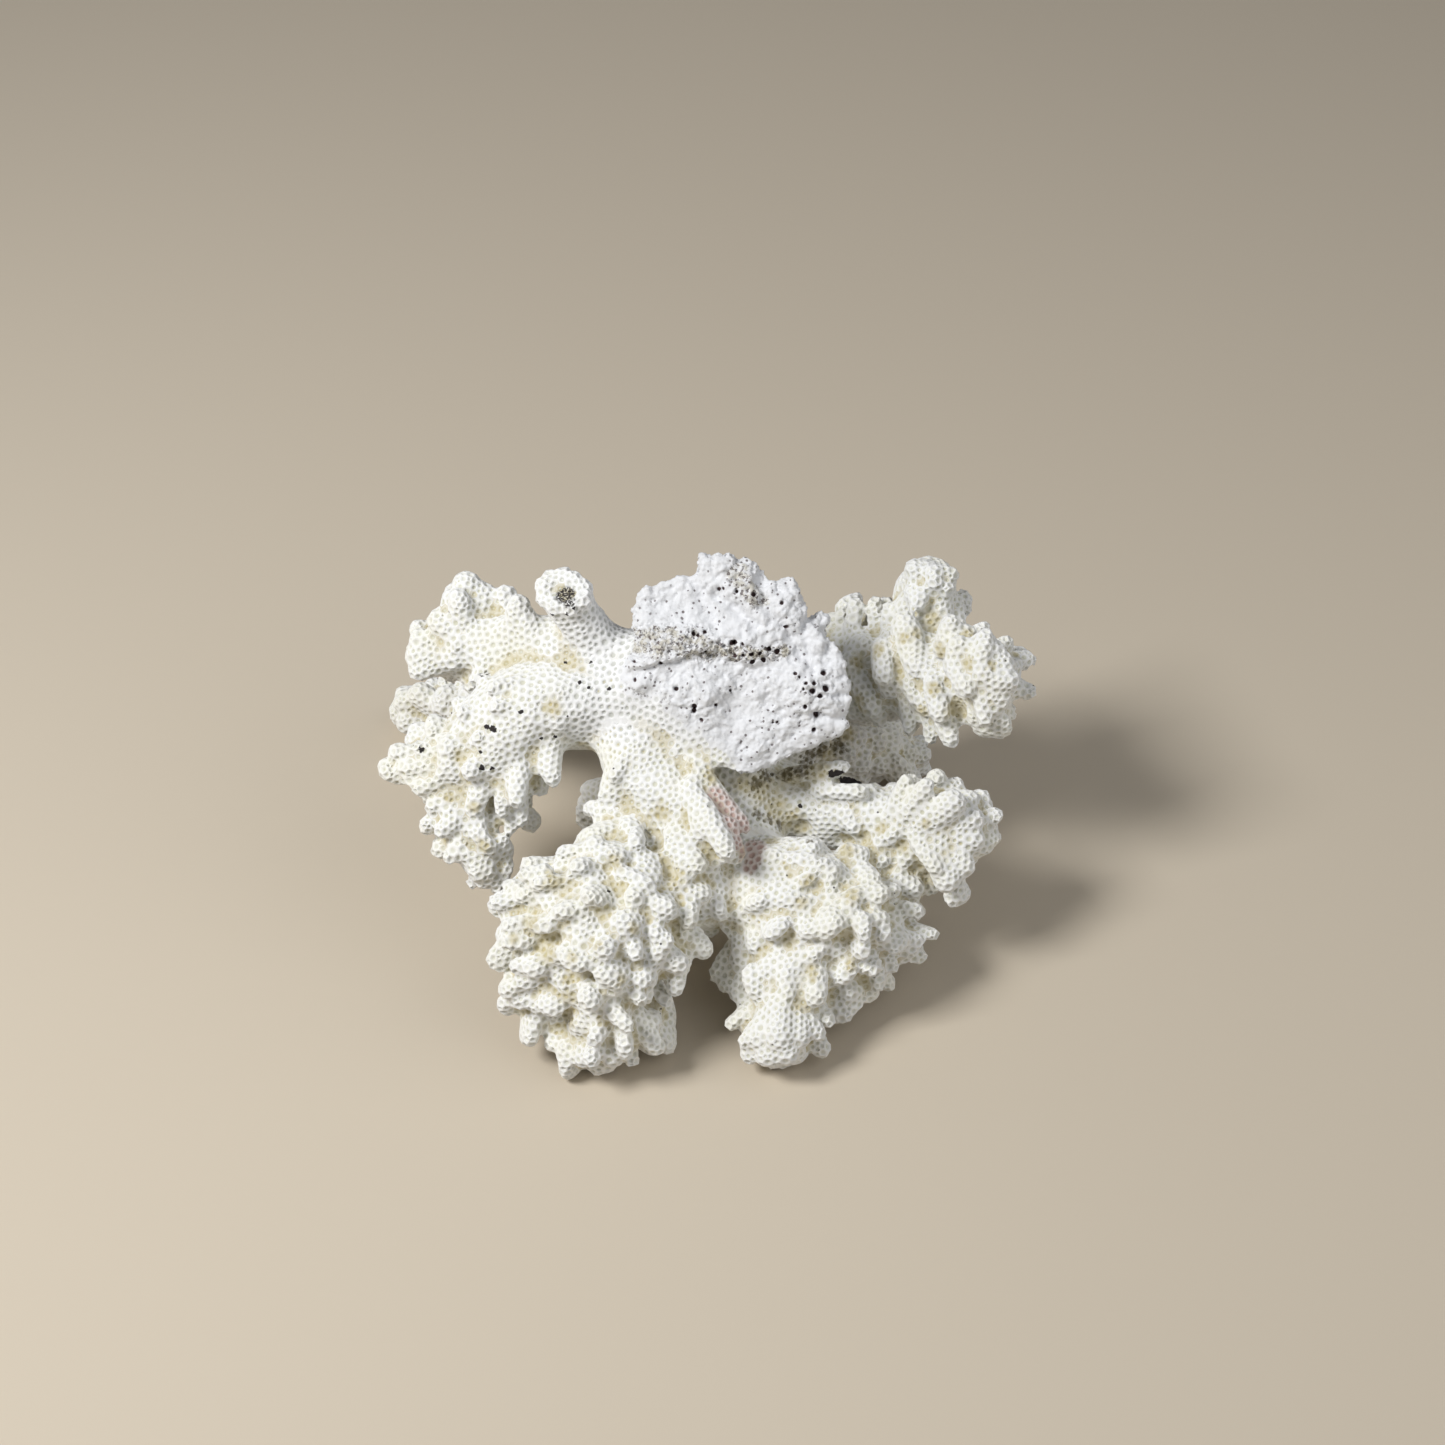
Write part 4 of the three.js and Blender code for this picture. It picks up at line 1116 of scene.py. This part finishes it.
def noisy(tree, places, size, detail=2.0, shift=0.0):
    """Noise from 0 to 1 with features of a size in millimetres, on places in millimetres."""
    moved = shader_node(tree, "ShaderNodeVectorMath", {0: places, 1: (shift, shift, shift)})
    return shader_node(tree, "ShaderNodeTexNoise", {
        "Vector": moved.outputs[0], "Scale": 1 / size, "Detail": detail, "Roughness": 0.6,
    }).outputs[0]


def speckled(tree, places, size, share, radius):
    """Round specks, 1 inside and 0 outside, in a share of cells of a size in millimetres."""
    cells = shader_node(tree, "ShaderNodeTexVoronoi", {"Vector": places, "Scale": 1 / size})
    chance = shader_node(tree, "ShaderNodeSeparateColor", {0: cells.outputs["Color"]}).outputs[0]
    there = calculated(tree, "LESS_THAN", chance, share)
    close = ramped(tree, cells.outputs["Distance"], radius, radius * 0.5)
    return calculated(tree, "MULTIPLY", there, close)


def new_group(name, inputs, outputs):
    tree = bpy.data.node_groups.new(name, "ShaderNodeTree")
    for direction, sockets in (("INPUT", inputs), ("OUTPUT", outputs)):
        for label, kind in sockets:
            tree.interface.new_socket(label, in_out=direction, socket_type="NodeSocket" + kind)
    return tree, tree.nodes.new("NodeGroupInput").outputs, tree.nodes.new("NodeGroupOutput").inputs


def bare_coral_group(colours):
    """Bleached coral skeleton: white walls, creamy pits, tan recesses with painted shade, soot and
    stains, painted shade in a dark crevice, and grime with painted shade under the crust.
    """
    tree, given, out = new_group("Bare coral", [
        ("Place", "Vector"), ("Pit", "Float"), ("Hollow", "Float"), ("White", "Float"),
        ("Soot_and_shade", "Float"), ("Stain", "Float"), ("Blush", "Float"), ("Tan", "Float"),
        ("Grime_and_shade", "Float"),
    ], [("Color", "Color"), ("Height", "Float")])
    place = given["Place"]
    broad = noisy(tree, place, 9, 2)
    wall = mixed(tree, ramped(tree, broad, 0.4, 0.7), colours.wall, colours.cream)
    wall = mixed(tree, given["White"], wall, colours.white)
    grain = noisy(tree, place, 0.28, 3, 5)
    wall = mixed(tree, ramped(tree, grain, 0.62, 0.8, 0, 0.35), wall, colours.pit)
    # The pits' tint is full in the hollows and halved on the tips that stand out: painted shade in the
    # hollows
    uneven = ramped(tree, noisy(tree, place, 1.6, 2, 11), 0.3, 0.7, 0.6, 1.0)
    uneven = calculated(tree, "MULTIPLY", uneven, ramped(tree, given["Hollow"], -0.3, 0, 0.5, 1))
    in_pit = calculated(tree, "MULTIPLY", ramped(tree, given["Pit"], 0.1, 0.75), uneven)
    pale = mixed(tree, given["White"], colours.pit, colours.white_pit)
    colour = mixed(tree, in_pit, wall, pale)
    # Recess colour: a tan tint with painted shade, laid where the skin lies deep between the fingers
    # and on the tan marks, and strongest in the pits
    hollow = ramped(tree, given["Hollow"], 0.03, 0.18, 0, 0.85)
    patchy = calculated(tree, "MULTIPLY_ADD", noisy(tree, place, 1.5, 3, 31), 1.3)
    tree.links.new(given["Tan"], patchy.node.inputs[2])
    recess_tint_and_shade = calculated(tree, "MAXIMUM", hollow, ramped(tree, patchy, 0.8, 1.55, 0, 0.9))
    recess_tint_and_shade = calculated(tree, "MULTIPLY", recess_tint_and_shade, ramped(tree, given["Pit"], 0, 0.7, 0.75, 1))
    broken = ramped(tree, noisy(tree, place, 0.7, 3, 19), 0.3, 0.6, 0.65, 1)
    recess_tint_and_shade = calculated(tree, "MULTIPLY", recess_tint_and_shade, broken)
    colour = mixed(tree, recess_tint_and_shade, colour, colours.recess_tint_and_shade)
    blush = ramped(tree, given["Blush"], 0.25, 0.7)
    blush = calculated(tree, "MULTIPLY", blush, ramped(tree, given["Pit"], 0, 0.6, 0.5, 0.95))
    colour = mixed(tree, blush, colour, colours.blush)
    # Grime and painted shade under the crust's lip, darker in the pits
    grime_and_shade_mask = calculated(tree, "ADD", given["Grime_and_shade"], ramped(tree, given["Pit"], 0, 0.8, -0.2, 0.1))
    cloudy = ramped(tree, noisy(tree, place, 0.8, 3, 37), 0.3, 0.7, -0.35, 0.15)
    grime_and_shade_mask = calculated(tree, "ADD", grime_and_shade_mask, cloudy)
    colour = mixed(tree, ramped(tree, grime_and_shade_mask, 0.1, 0.8, 0, 0.85), colour, colours.grime_and_shade)
    # Soot: black specks, and painted shade in the crevice below the crust's right end
    ragged = calculated(tree, "SUBTRACT", noisy(tree, place, 0.5, 3, 23), 0.5)
    soot_and_shade = ramped(tree, calculated(tree, "ADD", given["Soot_and_shade"], ragged), 0.52, 0.62)
    stain = ramped(tree, given["Stain"], 0.25, 0.6)
    stain = calculated(tree, "MULTIPLY", stain, ramped(tree, grain, 0.36, 0.52))
    stray = speckled(tree, place, 2.2, 0.16, 0.09)
    dark = calculated(tree, "MAXIMUM", calculated(tree, "MAXIMUM", soot_and_shade, stain), stray)
    colour = mixed(tree, dark, colour, colours.soot_and_shade)
    tree.links.new(colour, out["Color"])
    tree.links.new(grain, out["Height"])
    return tree


def chalk_group(colours):
    """Worn chalky crust: bluish white and mottled, with a tan porous ridge, and pinholes and pores
    whose dark insides are painted shade.
    """
    tree, given, out = new_group("Worn crust", [
        ("Place", "Vector"), ("Ridge", "Float"), ("Pore", "Float"),
    ], [("Color", "Color"), ("Height", "Float")])
    place = given["Place"]
    mottle = noisy(tree, place, 1.1, 4, 3)
    colour = mixed(tree, ramped(tree, mottle, 0.5, 0.85), colours.chalk, colours.chalk_shade)
    grain = noisy(tree, place, 0.3, 4, 7)
    gritty = ramped(tree, noisy(tree, place, 0.5, 3, 13), 0.54, 0.62)
    tan = ramped(tree, given["Ridge"], 0.2, 0.8)
    tan = calculated(tree, "MULTIPLY", tan, ramped(tree, mottle, 0.42, 0.58, 0.1, 0.95))
    colour = mixed(tree, tan, colour, colours.ridge)
    # The ridge's holes, the pinholes and the open pores get the dark pore colour: painted shade inside
    # them
    holes = calculated(tree, "MULTIPLY", gritty, ramped(tree, given["Ridge"], 0.1, 0.6))
    crowded = ramped(tree, noisy(tree, place, 4, 2, 29), 0.38, 0.56)
    pins = calculated(tree, "MULTIPLY", speckled(tree, place, 0.75, 0.4, 0.34), crowded)
    pins = calculated(tree, "MAXIMUM", pins, speckled(tree, place, 1.6, 0.3, 0.14))
    holes = calculated(tree, "MAXIMUM", holes, pins)
    dark = ramped(tree, holes, 0, 1, 0, 0.8)
    dark = calculated(tree, "MAXIMUM", dark, ramped(tree, given["Pore"], 0.3, 0.9))
    colour = mixed(tree, dark, colour, colours.pore)
    tree.links.new(colour, out["Color"])
    height = calculated(tree, "SUBTRACT", grain, calculated(tree, "MULTIPLY", holes, 0.9))
    tree.links.new(height, out["Height"])
    return tree


def attribute(tree, name):
    return shader_node(tree, "ShaderNodeAttribute", attribute_name=name).outputs["Fac"]


BUMP_STRENGTH = 0.7
BUMP_HEIGHT = 0.00016
CORAL_ROUGHNESS = 0.85


def coral_material(name, colours, chalky):
    """Bare coral, and where the piece has it, crust over it."""
    material = bpy.data.materials.new(name)
    material.use_nodes = True
    tree = material.node_tree
    tree.nodes.clear()
    place = shader_node(tree, "ShaderNodeTexCoord").outputs["Object"]
    scaled = {0: place, 1: (1 / MM,) * 3}
    place = shader_node(tree, "ShaderNodeVectorMath", scaled, operation="MULTIPLY").outputs[0]
    bare = shader_node(tree, "ShaderNodeGroup", node_tree=bpy.data.node_groups["Bare coral"])
    tree.links.new(place, bare.inputs["Place"])
    for socket in ("Pit", "Hollow", "White", "Soot_and_shade", "Stain", "Blush", "Tan", "Grime_and_shade"):
        tree.links.new(attribute(tree, socket.lower()), bare.inputs[socket])
    colour, height = bare.outputs["Color"], bare.outputs["Height"]
    if chalky:
        crust = shader_node(tree, "ShaderNodeGroup", node_tree=bpy.data.node_groups["Worn crust"])
        tree.links.new(place, crust.inputs["Place"])
        for socket in ("Ridge", "Pore"):
            tree.links.new(attribute(tree, socket.lower()), crust.inputs[socket])
        share = ramped(tree, attribute(tree, "chalk"), 0.3, 0.95)
        colour = mixed(tree, share, colour, crust.outputs["Color"])
        heights = {0: share, 2: height, 3: crust.outputs["Height"]}
        height = shader_node(tree, "ShaderNodeMix", heights).outputs[0]
    bump = shader_node(tree, "ShaderNodeBump", {
        "Height": height, "Strength": BUMP_STRENGTH, "Distance": BUMP_HEIGHT,
    })
    shader = shader_node(tree, "ShaderNodeBsdfPrincipled", {
        "Base Color": colour, "Roughness": CORAL_ROUGHNESS, "Specular IOR Level": 0.3,
        "Normal": bump.outputs[0],
    })
    shader_node(tree, "ShaderNodeOutputMaterial", {"Surface": shader.outputs[0]})
    return material


# Stage

SENSOR_WIDTH = 36
FLOOR_ROUGHNESS = 0.9
# Each lamp's place in the viewer's frame, in millimetres, and its side in metres
KEY_LAMP = ((-300, 190, 360), 0.16)
FILL_LAMP = ((330, 120, 300), 0.5)
LAMP_COLOUR = (1.0, 0.995, 0.985)
SKY_COLOUR = (0.96, 0.975, 1.0, 1)


def make_stage(light, colours):
    """Lays the plain floor, aims the camera as the photograph was taken, and lights the coral."""
    scene = bpy.context.scene
    floor = bmesh.new()
    bmesh.ops.create_grid(floor, x_segments=1, y_segments=1, size=light.floor_size / 2)
    mesh = bpy.data.meshes.new("floor")
    floor.to_mesh(mesh)
    floor.free()
    ground = bpy.data.objects.new("floor", mesh)
    scene.collection.objects.link(ground)
    material = bpy.data.materials.new("Pale floor")
    material.use_nodes = True
    shader = material.node_tree.nodes["Principled BSDF"]
    shader.inputs["Base Color"].default_value = (*colours.floor, 1)
    shader.inputs["Roughness"].default_value = FLOOR_ROUGHNESS
    mesh.materials.append(material)

    lens = bpy.data.cameras.new("camera")
    lens.sensor_width = SENSOR_WIDTH
    lens.lens = SENSOR_WIDTH * CAMERA_DISTANCE / PICTURE_WIDTH
    lens.clip_start = 0.01
    camera = bpy.data.objects.new("camera", lens)
    scene.collection.objects.link(camera)
    turn = Matrix(VIEW_AXES.T.tolist()).to_4x4()
    spot = from_view([0, 0, CAMERA_DISTANCE]) * MM
    camera.matrix_world = Matrix.Translation(spot.tolist()) @ turn
    scene.camera = camera

    for name, (view, size), power in (("key", KEY_LAMP, light.key), ("fill", FILL_LAMP, light.fill)):
        lamp = bpy.data.lights.new(name, "AREA")
        lamp.energy = power
        lamp.size = size
        lamp.color = LAMP_COLOUR
        holder = bpy.data.objects.new(name, lamp)
        scene.collection.objects.link(holder)
        place = Vector((from_view(view) * MM).tolist())
        aim = Vector((VIEW_ORIGIN * MM).tolist())
        holder.location = place
        holder.rotation_euler = (aim - place).to_track_quat("-Z", "Y").to_euler()
    world = bpy.data.worlds.new("studio")
    world.use_nodes = True
    sky = world.node_tree.nodes["Background"]
    sky.inputs["Color"].default_value = SKY_COLOUR
    sky.inputs["Strength"].default_value = light.sky
    scene.world = world
    scene.view_settings.view_transform = "Standard"


# The add-on: its properties, operators and panel

def length(name, description, default):
    return FloatProperty(
        name=name, description=description, default=default, min=0, unit="LENGTH", precision=5
    )


def lamp_power(name, description, default):
    return FloatProperty(name=name, description=description, default=default, min=0, unit="POWER")


def colour(name, description, default):
    return FloatVectorProperty(
        name=name, description=description, default=default, size=3, min=0, max=1, subtype="COLOR"
    )


class CoralSizes(bpy.types.PropertyGroup):
    """Sizes of the coral's fingers, pits and crust"""
    seed: IntProperty(name="Seed", description="Which fingers and pits grow where", default=3, min=0)
    pitch: length("Pit pitch", "How far apart the pits stand", 0.00115)
    pit_depth: length("Pit depth", "How deep a pit goes", 0.00032)
    finger_spacing: length("Finger spacing", "Least distance between two fingers", 0.0034)
    finger_radius: length("Finger radius", "Radius of a full-sized finger", 0.00132)
    finger_length: length("Finger length", "Length of a full-sized finger", 0.0029)
    skin_voxel: length("Skin grain", "Size of the faces that the skin is made of", 0.0004)
    crust_relief: FloatProperty(
        name="Crust relief", description="How uneven the crust is", default=1.0, min=0, max=2
    )


class CoralColours(bpy.types.PropertyGroup):
    """Colours of the bare coral, its crust and the floor"""
    wall: colour("Wall", "Walls between the pits", (0.86, 0.865, 0.86))
    white: colour("White", "Walls of the whiter trunk", (0.87, 0.875, 0.88))
    cream: colour("Cream", "Creamier patches of the walls", (0.86, 0.855, 0.805))
    pit: colour("Pit", "Floors of the pits", (0.61, 0.605, 0.49))
    white_pit: colour("White pit", "Floors of the pits of the whiter trunk", (0.55, 0.56, 0.52))
    # Recess: tan tint and painted shade for the deep places between the fingers
    recess_tint_and_shade: colour("Recess", "Deep places between fingers", (0.52, 0.45, 0.24))
    blush: colour("Blush", "The pinkish patch under the crust", (0.53, 0.38, 0.34))
    # Soot: black specks, and painted shade in the crevice below the crust's right end
    soot_and_shade: colour("Soot_and_shade", "Black specks", (0.03, 0.025, 0.025))
    # Grime: brown dirt and painted shade under the crust's lip
    grime_and_shade: colour("Grime_and_shade", "Brown dirt under the crust", (0.13, 0.105, 0.05))
    chalk: colour("Chalk", "The worn crust", (0.78, 0.79, 0.815))
    chalk_shade: colour("Chalk shade", "Greyer mottles of the crust", (0.47, 0.47, 0.475))
    ridge: colour("Ridge", "The porous ridge across the crust", (0.56, 0.53, 0.45))
    # Pore: painted shade inside the open pores and pinholes
    pore: colour("Pore", "Insides of the open pores", (0.08, 0.05, 0.05))
    floor: colour("Floor", "The plain floor", (0.58, 0.51, 0.41))


class CoralLight(bpy.types.PropertyGroup):
    """Lamps and floor of the stage"""
    key: lamp_power("Key", "Power of the main lamp", 2.4)
    fill: lamp_power("Fill", "Power of the fill lamp", 0.7)
    sky: FloatProperty(
        name="Sky", description="Strength of the soft light all round", default=0.18, min=0
    )
    floor_size: length("Floor size", "Side of the floor", 4.0)


class CORAL_OT_cells(bpy.types.Operator):
    """Grow the coral's skin with its fingers, and divide it into one cell for each pit"""
    bl_idname = "coral.cells"
    bl_label = "Grow cells"

    def execute(self, context):
        grow_cells(context.scene.coral_sizes)
        return {"FINISHED"}


class CORAL_OT_holdfast(bpy.types.Operator):
    """Make the broken holdfast with its chalky crust and the trunk behind it"""
    bl_idname = "coral.holdfast"
    bl_label = "Holdfast"

    def execute(self, context):
        colours = context.scene.coral_colours
        bare_coral_group(colours)
        chalk_group(colours)
        dress(HOLDFAST, context.scene.coral_sizes, coral_material("Chalky crust", colours, True))
        return {"FINISHED"}


class CORAL_OT_branches(bpy.types.Operator):
    """Make the branches with their fingers and pits"""
    bl_idname = "coral.branches"
    bl_label = "Branches"

    def execute(self, context):
        material = coral_material("Bleached branch", context.scene.coral_colours, False)
        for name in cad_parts:
            if name != HOLDFAST:
                dress(name, context.scene.coral_sizes, material)
        bpy.data.meshes.remove(bpy.data.meshes[CELLS])
        return {"FINISHED"}


class CORAL_OT_stage(bpy.types.Operator):
    """Lay the floor and set the camera and the lamps"""
    bl_idname = "coral.stage"
    bl_label = "Stage"

    def execute(self, context):
        make_stage(context.scene.coral_light, context.scene.coral_colours)
        return {"FINISHED"}


class CORAL_PT_panel(bpy.types.Panel):
    """Lists the coral's sizes, colours and pieces"""
    bl_label = "Cauliflower coral"
    bl_space_type = "VIEW_3D"
    bl_region_type = "UI"
    bl_category = "Coral"

    def draw(self, context):
        scene = context.scene
        for group in (scene.coral_sizes, scene.coral_colours, scene.coral_light):
            box = self.layout.box()
            for key in group.__annotations__:
                box.prop(group, key)
        for operator in (CORAL_OT_cells, CORAL_OT_holdfast, CORAL_OT_branches, CORAL_OT_stage):
            self.layout.operator(operator.bl_idname)


CLASSES = (
    CoralSizes, CoralColours, CoralLight, CORAL_OT_cells, CORAL_OT_holdfast, CORAL_OT_branches,
    CORAL_OT_stage, CORAL_PT_panel,
)


def register():
    for one in CLASSES:
        bpy.utils.register_class(one)
    bpy.types.Scene.coral_sizes = PointerProperty(type=CoralSizes)
    bpy.types.Scene.coral_colours = PointerProperty(type=CoralColours)
    bpy.types.Scene.coral_light = PointerProperty(type=CoralLight)


def unregister():
    del bpy.types.Scene.coral_light
    del bpy.types.Scene.coral_colours
    del bpy.types.Scene.coral_sizes
    for one in reversed(CLASSES):
        bpy.utils.unregister_class(one)


def main():
    register()
    bpy.ops.coral.cells()
    bpy.ops.coral.holdfast()
    bpy.ops.coral.branches()
    bpy.ops.coral.stage()
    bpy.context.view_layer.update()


if __name__ == "__main__":
    main()
